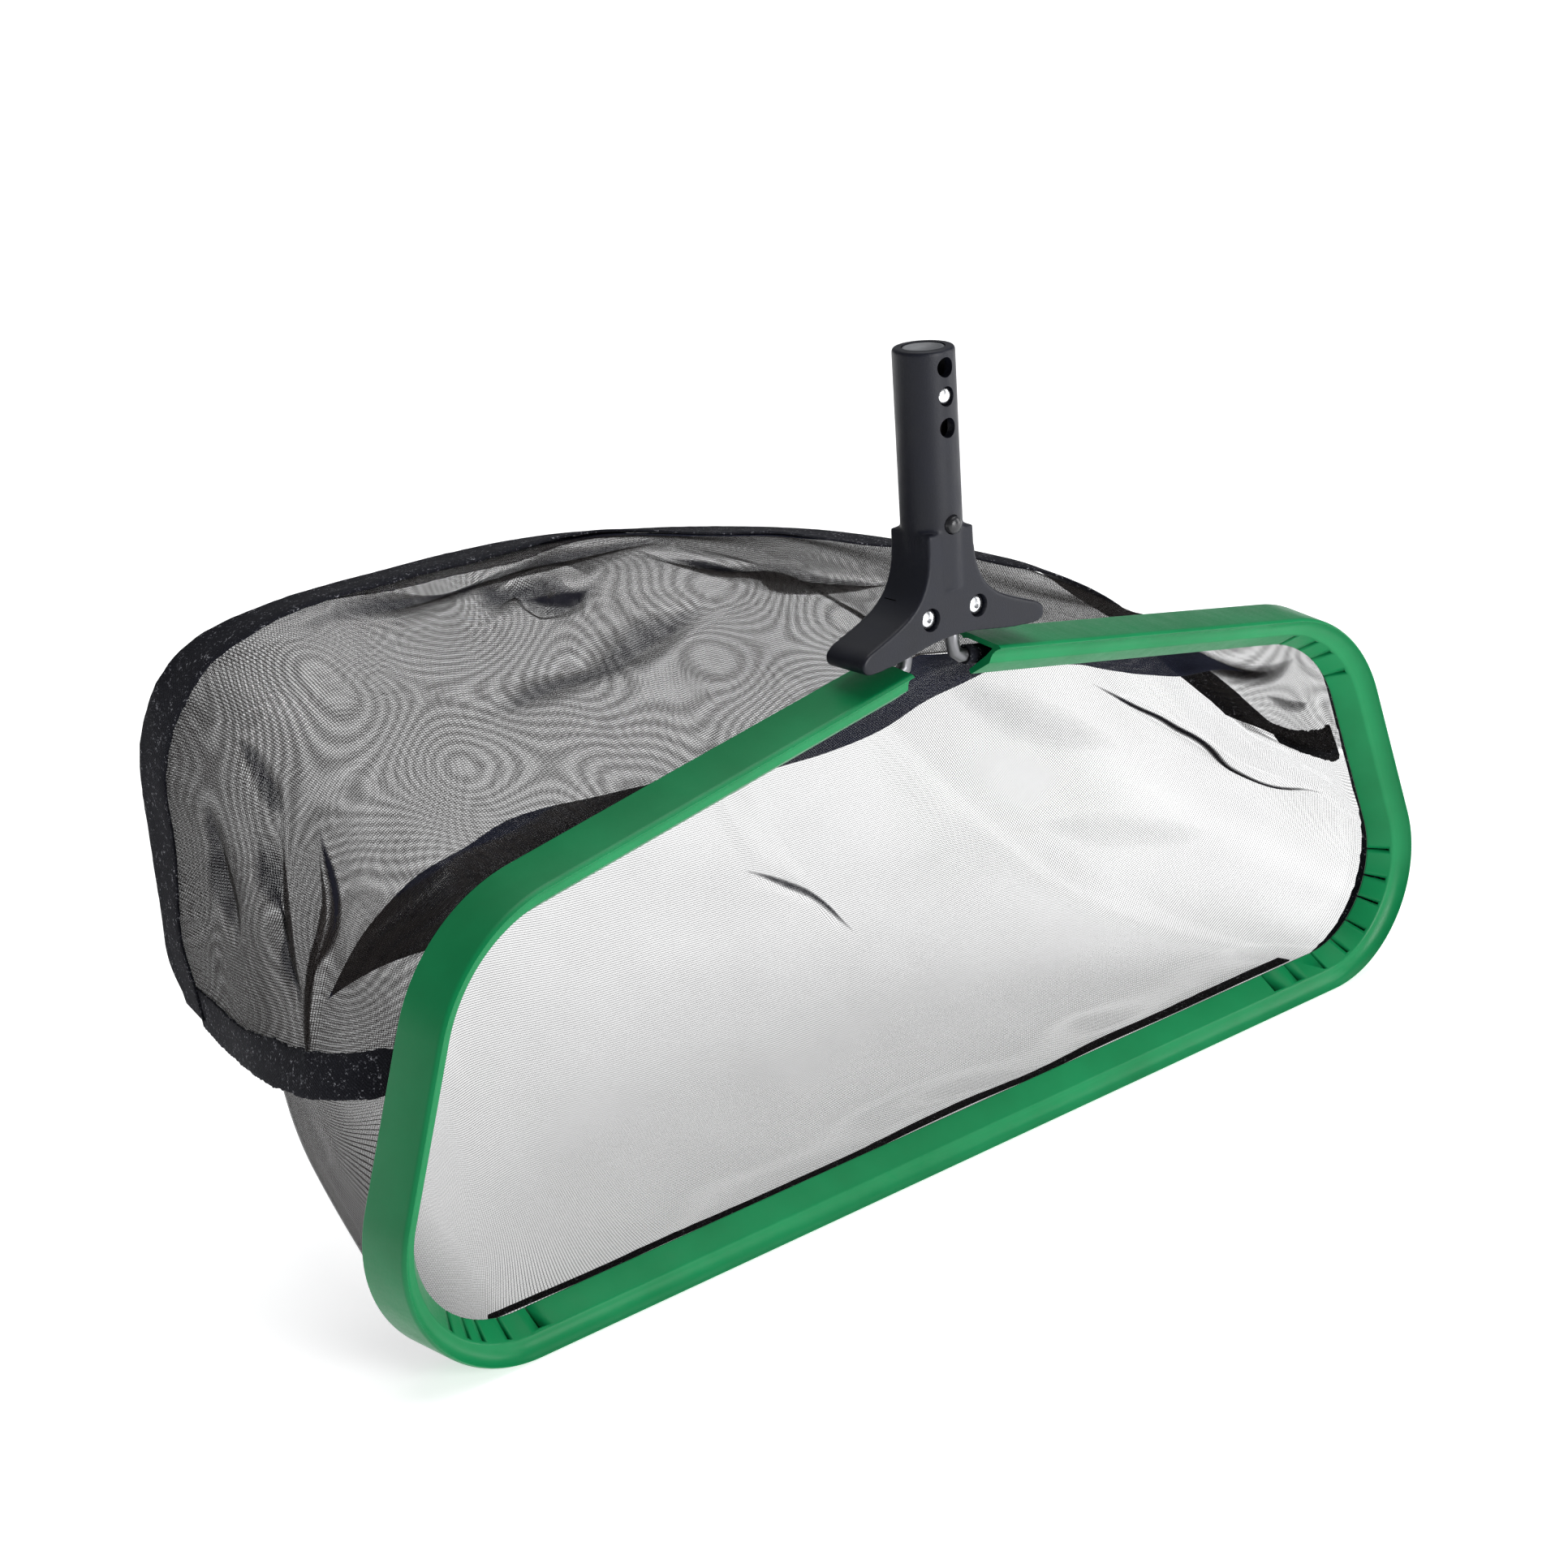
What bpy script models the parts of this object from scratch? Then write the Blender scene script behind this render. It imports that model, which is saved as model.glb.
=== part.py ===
"""Deep-bag leaf skimmer net for pools and spas.

A five-sided mouth frame (bent metal hoop inside a green plastic lip) carries a
fine mesh bag. A cast yoke with a round spigot joins the frame to a telescopic
pole, and two sprung buttons in the spigot lock it there.

Frame of the part, in metres: +X to the right along the bottom bar, +Y back into
the bag, +Z up along the spigot. The origin is in the middle of the flat under
the bottom bar, under the spigot's axis.
"""
import math

import bmesh
import bpy
from mathutils import Vector

PART_NAME = "leaf_skimmer_net"

# ---- Driving dimensions -------------------------------------------------------

# Mouth: the lip's outer line, corners before rounding, symmetric about x = 0.
BOTTOM_HALF = 0.310
SHOULDER_HALF = 0.249
SHOULDER_Z = 0.1795
PEAK_Z = 0.2245
LOWER_RADIUS = 0.056
UPPER_RADIUS = 0.070
PEAK_RADIUS = 0.020
STRAIGHT_STEP = 0.040       # longest straight step between two stations
ARC_STEP = math.radians(11)
SEAM_Z = 0.118              # height at which the side seams meet the side bars

# Lip: a V-shaped channel, open at the back.
LIP_DEPTH = 0.025
LIP_FLARE = 0.0025          # outward slant of the outer band over its depth
LIP_WALL = 0.0022
LIP_GAP_HALF = 0.024        # the lip is cut away under the yoke

# Hoop and the hem sleeve round it.
HOOP_RADIUS = 0.0030
HOOP_INSET = 0.0063         # hoop's centre line, inside the outer line
HOOP_Y = 0.0052
HOOP_BEND_RADIUS = 0.010
HEM_CLOTH = 0.0008
HEM_REAR = 0.0155
HEM_GAP_HALF = 0.0205
CLEARANCE = 0.0003          # kept between pieces that touch

# Bag: two mesh panels and the binding over the seam between them.
PANEL_CLOTH = 0.0010
PANEL_FRONT = 0.0115
PANEL_FREE = 0.0185         # the cloth runs straight back to here
PANEL_ROWS = 11
SEAM_SETBACK = 0.0015       # each panel stops short of the seam line
BELLY_SETBACK = 0.0024      # and the bottom panel's rear edge a little more
# How far the top panel's curves run on from the hem and from the rear seam, and how
# far they are lifted where the bag stands full and sunk towards the right.
ROOF_LEAVE = 0.055
ROOF_SPREAD = 0.030
ROOF_LIFT = 0.030
ROOF_SINK = 0.036
ROOF_ARRIVE = 0.050
ROOF_END_LIFT = 0.012
ROOF_END_SINK = 0.010
# The same for the bottom panel, in its belly and at the side seams. An even load then
# fills it out.
BELLY_LEAVE = Vector((0.0, 0.115, 0.014))
BELLY_INWARDS = 0.135
BELLY_BACK = 0.045
SIDE_LEAVE = Vector((0.0, 0.040, -0.008))
SIDE_ARRIVE = 0.050
CUSHION_START = 0.55        # share of the half width where the belly starts to end
FILL_PASSES = 300
FILL_LOAD = 0.51
SAG_LOAD = 3.0              # how much fuller the floor hangs by its left side
SAG_PLACE, SAG_WIDTH = -0.9, 0.2
BINDING_ON_ROOF = 0.0200    # width of the rear tape on the top panel
BINDING_ON_SIDE = 0.0130    # and of the two side tapes
BINDING_PAST_SEAM = 0.0045
BINDING_CLOTH = 0.0010
BINDING_SLACK = 0.0005
BINDING_GAP = 0.0020        # between the ends of the side tapes and the rear tape

# Handle casting.
SPIGOT_RADIUS = 0.0125
SPIGOT_TOP = 0.3465
BORE_RADIUS = 0.00875
BORE_FLOOR = 0.262
YOKE_DEPTH = 0.023
YOKE_ROUNDING = 0.0026
HOLE_RADIUS = 0.0040
ROUND_HOLES_Z = (0.3395, 0.3280, 0.3155)
BUTTON_Z = 0.2765
FACETS = 32

# Frame screws, along Y through the yoke and the flattened ends of the hoop.
SCREW_X = 0.013
SCREW_Z = 0.240
COUNTERBORE_RADIUS = 0.0048
COUNTERBORE_DEPTH = 0.0040
SCREW_SHANK_RADIUS = 0.0024
SCREW_HOLE_RADIUS = 0.0028
SCREW_HEAD_RADIUS = 0.0043
SCREW_HEAD_HEIGHT = 0.0028
NUT_FLATS = 0.008
NUT_HEIGHT = 0.004
WASHER_RADIUS = 0.0046
WASHER_HEIGHT = 0.001
TAB_WIDTH = 0.0120
TAB_THICKNESS = 0.0050
TAB_TOP = 0.2468
SLOT_WALL_Y = 0.0034        # half the slot's size along Y, about HOOP_Y

# Snap buttons, their spring and the pin that holds it.
PIN_RADIUS = 0.0035
SPRING_WIDTH = 0.012
SPRING_CLOTH = 0.0007
SPRING_BEND_RADIUS = 0.0034
SPRING_LEG_Y = 0.0053       # middle of a leg at the buttons' height
SPRING_END_Z = 0.2700
BUTTON_RADIUS = 0.0036
BUTTON_TIP_Y = 0.0152
BUTTON_FLANGE_RADIUS = 0.0045
BUTTON_FLANGE_THICKNESS = 0.0010
PLUG_RADIUS = 0.00845
PLUG_THICKNESS = 0.0022

# ---- Scene, collections and materials -----------------------------------------

for old_object in list(bpy.data.objects):
    bpy.data.objects.remove(old_object, do_unlink=True)


def new_collection(name):
    collection = bpy.data.collections.new(name)
    bpy.context.scene.collection.children.link(collection)
    return collection


PARTS = new_collection(PART_NAME)
CUTTERS = new_collection("cutters")


def new_material(name, colour, roughness, metallic=0.0):
    material = bpy.data.materials.new(name)
    material.use_nodes = True
    shader = material.node_tree.nodes["Principled BSDF"]
    shader.inputs["Base Color"].default_value = (*colour, 1.0)
    shader.inputs["Roughness"].default_value = roughness
    shader.inputs["Metallic"].default_value = metallic
    material.diffuse_color = (*colour, 1.0)
    return material


CAST_BLACK = new_material("cast_black", (0.030, 0.032, 0.042), 0.42)
PLUG_GREY = new_material("plug_grey", (0.16, 0.165, 0.175), 0.50)
LIP_GREEN = new_material("lip_green", (0.010, 0.150, 0.060), 0.33)
BRIGHT_STEEL = new_material("bright_steel", (0.75, 0.76, 0.78), 0.22, 1.0)
SPRING_STEEL = new_material("spring_steel", (0.50, 0.51, 0.53), 0.35, 1.0)
HOOP_METAL = new_material("hoop_metal", (0.10, 0.10, 0.11), 0.40, 1.0)
BUTTON_BLACK = new_material("button_black", (0.012, 0.012, 0.014), 0.30)
BINDING_BLACK = new_material("binding_black", (0.010, 0.011, 0.018), 0.90)
MESH_BLACK = new_material("mesh_black", (0.030, 0.030, 0.036), 0.80)

# ---- Modelling helpers ---------------------------------------------------------


def place(obj, material, collection=PARTS):
    obj.data.materials.clear()
    obj.data.materials.append(material)
    collection.objects.link(obj)
    return obj


def mesh_object(name, bm, material, collection=PARTS):
    """Make an object of a closed bmesh, faces out and shaded smooth."""
    bmesh.ops.recalc_face_normals(bm, faces=bm.faces)
    mesh = bpy.data.meshes.new(name)
    bm.to_mesh(mesh)
    bm.free()
    mesh.shade_smooth()
    mesh.set_sharp_from_angle(angle=math.radians(35))
    return place(bpy.data.objects.new(name, mesh), material, collection)


def solid_from_curve(name, curve_object, material, collection=PARTS):
    """Turn a filled curve into a welded mesh object and remove the curve."""
    bpy.context.view_layer.update()
    evaluated = curve_object.evaluated_get(bpy.context.evaluated_depsgraph_get())
    mesh = bpy.data.meshes.new_from_object(evaluated)
    placed = curve_object.matrix_world.copy()
    bpy.data.objects.remove(curve_object, do_unlink=True)
    bm = bmesh.new()
    bm.from_mesh(mesh)
    bpy.data.meshes.remove(mesh)
    bmesh.ops.remove_doubles(bm, verts=bm.verts, dist=1e-5)
    obj = mesh_object(name, bm, material, collection)
    obj.matrix_world = placed
    return obj


def turned(name, profile, material, collection=PARTS, facets=FACETS):
    """Turn a profile of (radius, height), outer side top to bottom, about Z."""
    bm = bmesh.new()
    points = [bm.verts.new((radius, 0.0, height)) for radius, height in profile]
    for first, second in zip(points, points[1:]):
        bm.edges.new((first, second))
    if profile[0][0] > 0.0:
        bm.edges.new((points[-1], points[0]))
    mesh = bpy.data.meshes.new(name)
    bm.to_mesh(mesh)
    bm.free()
    obj = place(bpy.data.objects.new(name, mesh), material, collection)
    screw = obj.modifiers.new("turn", "SCREW")
    screw.axis = "Z"
    screw.angle = math.tau
    screw.steps = facets
    screw.render_steps = facets
    screw.use_merge_vertices = True
    screw.merge_threshold = 1e-5
    screw.use_smooth_shade = True
    return obj


def point_along_y(obj, towards, x=0.0, y=0.0, z=0.0):
    """Turn an object's own +Z to -Y (towards -1) or +Y (towards +1), and place it."""
    obj.rotation_euler = (math.radians(-90 * towards), 0.0, 0.0)
    obj.location = (x, y, z)
    return obj


def make_cutter(obj):
    obj.hide_render = True
    obj.display_type = "WIRE"
    return obj


def cylinder_cutter(name, radius, length, centre, along, facets=FACETS):
    """A cylinder about centre, along 'Y' or 'Z'."""
    bm = bmesh.new()
    bmesh.ops.create_cone(bm, cap_ends=True, segments=facets, radius1=radius,
                          radius2=radius, depth=length)
    obj = make_cutter(mesh_object(name, bm, CAST_BLACK, CUTTERS))
    obj.location = centre
    if along == "Y":
        obj.rotation_euler = (math.radians(90), 0.0, 0.0)
    return obj


def box_cutter(name, low, high):
    bm = bmesh.new()
    bmesh.ops.create_cube(bm, size=1.0)
    size = [top - bottom for bottom, top in zip(low, high)]
    middle = [(top + bottom) / 2 for bottom, top in zip(low, high)]
    bmesh.ops.scale(bm, verts=bm.verts, vec=size)
    bmesh.ops.translate(bm, verts=bm.verts, vec=middle)
    return make_cutter(mesh_object(name, bm, CAST_BLACK, CUTTERS))


def boolean(obj, other, operation="DIFFERENCE"):
    modifier = obj.modifiers.new(f"{operation.lower()} {other.name}", "BOOLEAN")
    modifier.operation = operation
    modifier.object = other
    modifier.solver = "EXACT"
    return obj


def bevel(obj, width, segments=2, angle=35):
    modifier = obj.modifiers.new("rounding", "BEVEL")
    modifier.width = width
    modifier.segments = segments
    modifier.limit_method = "ANGLE"
    modifier.angle_limit = math.radians(angle)
    modifier.use_clamp_overlap = True
    return obj


def smooth_route(points, step=0.012):
    """A smooth (Catmull-Rom) curve through points, read off at even steps."""
    knots = [Vector(point) for point in points]
    knots = [2 * knots[0] - knots[1]] + knots + [2 * knots[-1] - knots[-2]]
    fine = []
    for before, start, end, after in zip(knots, knots[1:], knots[2:], knots[3:]):
        for part in range(12):
            t = part / 12
            fine.append(0.5 * (2 * start + (end - before) * t
                               + (2 * before - 5 * start + 4 * end - after) * t ** 2
                               + (3 * start - before - 3 * end + after) * t ** 3))
    fine.append(knots[-2])
    length = sum((b - a).length for a, b in zip(fine, fine[1:]))
    return even_points(fine, max(2, round(length / step)) + 1)


def even_points(points, count):
    """Points at equal distances along a chain of points."""
    reach = [0.0]
    for first, second in zip(points, points[1:]):
        reach.append(reach[-1] + (second - first).length)
    result = []
    piece = 0
    for index in range(count):
        wanted = reach[-1] * index / (count - 1)
        while piece < len(points) - 2 and reach[piece + 1] < wanted:
            piece += 1
        share = (wanted - reach[piece]) / max(reach[piece + 1] - reach[piece], 1e-9)
        result.append(points[piece].lerp(points[piece + 1], min(1.0, share)))
    return result

# ---- The mouth's outline ---------------------------------------------------------


def mouth_stations():
    """(x, z, normal x, normal z) round the outer line, clockwise from the peak.

    The corners are arcs, so a line at any inset is the point minus normal * inset.
    """
    corners = [(0.0, PEAK_Z, PEAK_RADIUS),
               (SHOULDER_HALF, SHOULDER_Z, UPPER_RADIUS),
               (BOTTOM_HALF, 0.0, LOWER_RADIUS),
               (-BOTTOM_HALF, 0.0, LOWER_RADIUS),
               (-SHOULDER_HALF, SHOULDER_Z, UPPER_RADIUS)]
    arcs = []
    for index, (x, z, radius) in enumerate(corners):
        corner = Vector((x, z))
        before = (Vector(corners[index - 1][:2]) - corner).normalized()
        after = (Vector(corners[(index + 1) % 5][:2]) - corner).normalized()
        half = before.angle(after) / 2
        centre = corner + (before + after).normalized() * (radius / math.sin(half))
        reach = radius / math.tan(half)
        start = corner + before * reach - centre
        end = corner + after * reach - centre
        turn = start.angle(end)
        count = max(2, math.ceil(turn / ARC_STEP))
        first = math.atan2(start.y, start.x)
        arcs.append([(centre, radius, first - turn * part / count)
                     for part in range(count + 1)])
    stations = []
    for index, arc in enumerate(arcs):
        for centre, radius, angle in arc:
            normal = (math.cos(angle), math.sin(angle))
            stations.append((centre.x + radius * normal[0],
                             centre.y + radius * normal[1], *normal))
        next_centre, next_radius, next_angle = arcs[(index + 1) % 5][0]
        x, z, nx, nz = stations[-1]
        end = (next_centre.x + next_radius * math.cos(next_angle),
               next_centre.y + next_radius * math.sin(next_angle))
        length = math.hypot(end[0] - x, end[1] - z)
        count = max(1, math.ceil(length / STRAIGHT_STEP))
        shares = {part / count for part in range(1, count)}
        if min(z, end[1]) < SEAM_Z < max(z, end[1]):
            shares.add((SEAM_Z - z) / (end[1] - z))
        for share in sorted(shares):
            stations.append((x + (end[0] - x) * share, z + (end[1] - z) * share, nx, nz))
    return stations


MOUTH = mouth_stations()
PEAK_INDEX = min(range(len(MOUTH)), key=lambda index: abs(MOUTH[index][0]) - MOUTH[index][1])


def stations_between(gap_half):
    """The stations from x = +gap_half clockwise round to x = -gap_half."""
    ordered = MOUTH[PEAK_INDEX:] + MOUTH[:PEAK_INDEX]
    kept = [s for s in ordered if abs(s[0]) > gap_half + 0.004 or s[1] < SHOULDER_Z / 2]
    slope = (PEAK_Z - SHOULDER_Z) / SHOULDER_HALF
    edge_z = PEAK_Z - slope * gap_half
    first = (gap_half, edge_z, kept[0][2], kept[0][3])
    last = (-gap_half, edge_z, kept[-1][2], kept[-1][3])
    return [first] + kept + [last]


def inset_point(station, inset, y):
    x, z, nx, nz = station
    return Vector((x - nx * inset, y, z - nz * inset))


def swept(name, stations, section, material):
    """Sweep a closed section of (inset, y, flare) along open stations, with end caps.

    Flare moves a point outwards, except down under the bottom bar, which is flat.
    """
    bm = bmesh.new()
    rings = []
    for station in stations:
        ring = []
        for inset, y, flare in section:
            point = inset_point(station, inset, y)
            point.x += station[2] * flare
            point.z += max(0.0, station[3]) * flare
            ring.append(bm.verts.new(point))
        rings.append(ring)
    for ring, following in zip(rings, rings[1:]):
        for index, corner in enumerate(ring):
            after = (index + 1) % len(ring)
            bm.faces.new((corner, ring[after], following[after], following[index]))
    bm.faces.new(rings[0])
    bm.faces.new(rings[-1])
    return mesh_object(name, bm, material)


# ---- Frame: lip, hoop and hem ------------------------------------------------------


def make_edge_lip():
    front = -LIP_DEPTH / 2
    barb = 0.0010
    band = [(0.0, 0.0012), (0.0, LIP_DEPTH),                     # outer band
            (LIP_WALL, LIP_DEPTH), (LIP_WALL, LIP_DEPTH - 0.0018),
            (LIP_WALL + barb, LIP_DEPTH - 0.0022),               # barb behind the hoop
            (LIP_WALL, LIP_DEPTH - 0.0038), (LIP_WALL, 0.0050)]  # root of the V
    scoop = [(0.0056, 0.0088), (0.0130, 0.0177), (0.0147, 0.0163),
             (0.0072, 0.0074),                                   # crease of the scoop
             (0.0010, 0.0004)]
    section = [(inset, front + back, LIP_FLARE * back / LIP_DEPTH) for inset, back in band]
    section += [(inset, front + back, 0.0) for inset, back in scoop]
    return swept("edge_lip", stations_between(LIP_GAP_HALF), section, LIP_GREEN)


def make_frame_hoop():
    """The rod, with both ends bent up and flattened where the screws pass."""
    ring = stations_between(LIP_GAP_HALF)
    route = [inset_point(station, HOOP_INSET, HOOP_Y) for station in ring]
    start = route[0]
    bend_end = Vector((SCREW_X, HOOP_Y, start.z + HOOP_BEND_RADIUS * 0.75))
    bend = [start.lerp(Vector((SCREW_X, HOOP_Y, start.z + 0.0012)), 0.55),
            Vector((SCREW_X + 0.0011, HOOP_Y, start.z + 0.0032))]
    neck_top = SCREW_Z - TAB_WIDTH / 2 - 0.0015
    right = [Vector((SCREW_X, HOOP_Y, neck_top)), bend_end, bend[1], bend[0]]
    left = [Vector((-point.x, point.y, point.z)) for point in reversed(right)]
    curve = bpy.data.curves.new("frame_hoop", "CURVE")
    curve.dimensions = "3D"
    curve.bevel_depth = HOOP_RADIUS
    curve.bevel_resolution = 2
    curve.use_fill_caps = True
    spline = curve.splines.new("POLY")
    points = right + route + left
    spline.points.add(len(points) - 1)
    for point, target in zip(spline.points, points):
        point.co = (*target, 1.0)
    holder = bpy.data.objects.new("hoop_curve", curve)
    PARTS.objects.link(holder)
    hoop = solid_from_curve("frame_hoop", holder, HOOP_METAL)
    for side in (1, -1):
        tab = box_cutter(f"hoop_tab_{side}",
                         (side * SCREW_X - TAB_WIDTH / 2, HOOP_Y - TAB_THICKNESS / 2,
                          neck_top - 0.0015),
                         (side * SCREW_X + TAB_WIDTH / 2, HOOP_Y + TAB_THICKNESS / 2, TAB_TOP))
        bevel(tab, 0.0018, segments=2)
        boolean(hoop, tab, "UNION")
        hole = cylinder_cutter(f"hoop_hole_{side}", SCREW_HOLE_RADIUS, 0.02,
                               (side * SCREW_X, HOOP_Y, SCREW_Z), "Y", facets=16)
        boolean(hoop, hole)
    return hoop


def make_mouth_hem():
    """A sleeve round the hoop whose two flaps run back over the bag's edge."""
    inner = HOOP_RADIUS + CLEARANCE
    outer = inner + HEM_CLOTH
    slit = PANEL_CLOTH / 2 + CLEARANCE
    inner_open = math.asin(slit / inner)
    outer_open = math.asin((slit + HEM_CLOTH) / outer)
    arc = 10

    def circle(radius, start, end):
        for part in range(arc + 1):
            angle = start + (end - start) * part / arc
            yield (HOOP_INSET + radius * math.sin(angle), HOOP_Y + radius * math.cos(angle), 0.0)

    section = [(HOOP_INSET + slit, HEM_REAR, 0.0)]
    section += list(circle(inner, inner_open, math.tau - inner_open))
    section += [(HOOP_INSET - slit, HEM_REAR, 0.0),
                (HOOP_INSET - slit - HEM_CLOTH, HEM_REAR, 0.0)]
    section += list(circle(outer, math.tau - outer_open, outer_open))
    section += [(HOOP_INSET + slit + HEM_CLOTH, HEM_REAR, 0.0)]
    return swept("mouth_hem", stations_between(HEM_GAP_HALF), section, BINDING_BLACK)

# ---- Bag: panels and binding -------------------------------------------------------

# The seam between the panels, from the left side bar back along the side, up the
# rear edge, over the top and down to the right side bar. The bag stands fullest at
# the left and sinks to the right, as limp mesh does.
LEFT_SIDE_SEAM = [(-0.2770, 0.048, 0.111), (-0.2740, 0.095, 0.103), (-0.2620, 0.142, 0.096),
                  (-0.2500, 0.190, 0.094)]
REAR_SEAM = [(-0.2500, 0.190, 0.094), (-0.2510, 0.199, 0.118), (-0.2520, 0.198, 0.165),
             (-0.2550, 0.189, 0.209), (-0.2470, 0.170, 0.244), (-0.2150, 0.162, 0.258),
             (-0.1500, 0.171, 0.257), (-0.0620, 0.188, 0.249), (0.0100, 0.195, 0.236),
             (0.0880, 0.193, 0.219), (0.1480, 0.176, 0.202), (0.1960, 0.145, 0.185),
             (0.2200, 0.110, 0.160), (0.2450, 0.083, 0.128), (0.2620, 0.066, 0.106)]
RIGHT_SIDE_SEAM = [(0.2730, 0.040, 0.099), (0.2620, 0.066, 0.106)]


def seam_station(side):
    return min((s for s in MOUTH if s[0] * side > 0), key=lambda s: abs(s[1] - SEAM_Z))


def bag_mouth(upper):
    """Stations of the hem line that carry one panel, from left to right."""
    left = MOUTH.index(seam_station(-1))
    right = MOUTH.index(seam_station(1))
    if upper:
        stations = MOUTH[left:] + MOUTH[:right + 1]
    else:
        stations = list(reversed(MOUTH[right:left + 1]))
    return trimmed(stations)


def trimmed(stations):
    """Pull the first and last station in, so that the panels stop at the seams."""
    def between(end, inner):
        length = math.hypot(end[0] - inner[0], end[1] - inner[1])
        share = SEAM_SETBACK / length
        return tuple(a + (b - a) * share for a, b in zip(end, inner))
    return ([between(stations[0], stations[1])] + stations[1:-1]
            + [between(stations[-1], stations[-2])])


def bezier(p0, p1, p2, p3, t):
    return ((1 - t) ** 3 * p0 + 3 * (1 - t) ** 2 * t * p1
            + 3 * (1 - t) * t ** 2 * p2 + t ** 3 * p3)


def panel_grid(upper):
    """Columns of points from the hem to the seam, each a cubic curve."""
    mouth = bag_mouth(upper)
    count = len(mouth)
    seam = even_points(smooth_route(REAR_SEAM, 0.004), count)
    front = [inset_point(station, HOOP_INSET, PANEL_FREE) for station in mouth]
    sides = []
    for start, seam_points, inwards in ((front[0], LEFT_SIDE_SEAM, 1),
                                        (front[-1], RIGHT_SIDE_SEAM, -1)):
        lift = (Vector((0.0, 0.0, SEAM_SETBACK)) if upper
                else Vector((inwards * 0.0021, 0.0, -SEAM_SETBACK)))
        sides.append(side_edge(start, seam_points, lift))
    columns = []
    for index in range(count):
        across = 2 * index / (count - 1) - 1
        middle = 1 - abs(across) ** 4
        # From the seam, the top panel runs forwards and the back wall inwards and down.
        run = (seam[min(index + 1, count - 1)] - seam[max(index - 1, 0)]).normalized()
        inwards = Vector((run.z, 0.0, -run.x)).normalized()
        forwards = Vector((0.0, -1.0, 0.0))
        forwards = (forwards - run * forwards.dot(run)).normalized()
        start = front[index]
        end = seam[index] + (forwards * SEAM_SETBACK if upper else inwards * BELLY_SETBACK)
        if upper:
            sunk = max(0.0, across)
            fullness = middle * (1 - min(1.0, sunk * 1.8))
            leave = start + Vector((ROOF_SPREAD * across ** 3, ROOF_LEAVE,
                                    ROOF_LIFT * fullness - ROOF_SINK * sunk))
            arrive = end + Vector((0.0, -ROOF_ARRIVE * (1 - 0.4 * sunk),
                                   ROOF_END_LIFT * fullness - ROOF_END_SINK * sunk))
        else:
            corner = max(0.0, abs(across) - CUSHION_START) / (1 - CUSHION_START)
            corner *= corner * (3 - 2 * corner)
            leave = start + BELLY_LEAVE.lerp(SIDE_LEAVE, corner)
            belly = inwards * BELLY_INWARDS + Vector((0.0, BELLY_BACK, 0.0))
            side = Vector((0.0, -SIDE_ARRIVE * (1.0 if across < 0 else 0.4), 0.0))
            arrive = end + belly.lerp(side, corner)
        columns.append([bezier(start, leave, arrive, end, row / (PANEL_ROWS - 1))
                        for row in range(PANEL_ROWS)])
    ease_onto_sides(columns, sides)
    if not upper:
        fill_out(columns)
    return [[inset_point(station, HOOP_INSET, PANEL_FRONT)] + column
            for station, column in zip(mouth, columns)]


def side_edge(start, seam_points, lift):
    route = smooth_route([start] + [Vector(point) + lift for point in seam_points], 0.004)
    return even_points(route, PANEL_ROWS)


def ease_onto_sides(columns, sides, share=0.24):
    """Draw the outer columns onto the side seams, less and less inwards."""
    reach = int(len(columns) * share)
    for edge, direction, target in ((0, 1, sides[0]), (len(columns) - 1, -1, sides[1])):
        shift = [goal - point for goal, point in zip(target, columns[edge])]
        for step in range(reach):
            weight = (1 - step / reach) ** 1.7
            column = columns[edge + direction * step]
            for row, move in enumerate(shift):
                column[row] = column[row] + move * weight


def fill_out(columns):
    """Let a panel hang evenly between its borders, pushed out by an even load."""
    loads = []
    for index in range(len(columns)):
        across = 2 * index / (len(columns) - 1) - 1
        loads.append(FILL_LOAD * (1 + SAG_LOAD * math.exp(-((across - SAG_PLACE)
                                                            / SAG_WIDTH) ** 2)))
    for _ in range(FILL_PASSES):
        before = [list(column) for column in columns]
        for index in range(1, len(columns) - 1):
            left, here, right = before[index - 1:index + 2]
            for row in range(1, PANEL_ROWS - 1):
                mean = (left[row] + right[row] + here[row - 1] + here[row + 1]) / 4
                inwards = (right[row] - left[row]).cross(here[row + 1] - here[row - 1])
                columns[index][row] = mean - inwards * loads[index]


def grid_object(name, columns, thickness, material, flip=False):
    """An open surface through a grid of points, thickened with Solidify."""
    bm = bmesh.new()
    grid = [[bm.verts.new(point) for point in column] for column in columns]
    for left, right in zip(grid, grid[1:]):
        for row in range(len(left) - 1):
            corners = [left[row], right[row], right[row + 1], left[row + 1]]
            bm.faces.new(reversed(corners) if flip else corners)
    mesh = bpy.data.meshes.new(name)
    bm.to_mesh(mesh)
    bm.free()
    mesh.shade_smooth()
    obj = place(bpy.data.objects.new(name, mesh), material)
    solidify = obj.modifiers.new("cloth", "SOLIDIFY")
    solidify.thickness = thickness
    solidify.offset = 0.0
    return obj


TOP_GRID = panel_grid(True)
BOTTOM_GRID = panel_grid(False)


def grid_point(grid, across, along):
    """A point of a panel; across and along run from 0 to 1 over its free rows."""
    column = across * (len(grid) - 1)
    row = 1 + along * (len(grid[0]) - 2)
    i, j = min(int(column), len(grid) - 2), min(int(row), len(grid[0]) - 2)
    near = grid[i][j].lerp(grid[i][j + 1], row - j)
    far = grid[i + 1][j].lerp(grid[i + 1][j + 1], row - j)
    return near.lerp(far, column - i)


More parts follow.
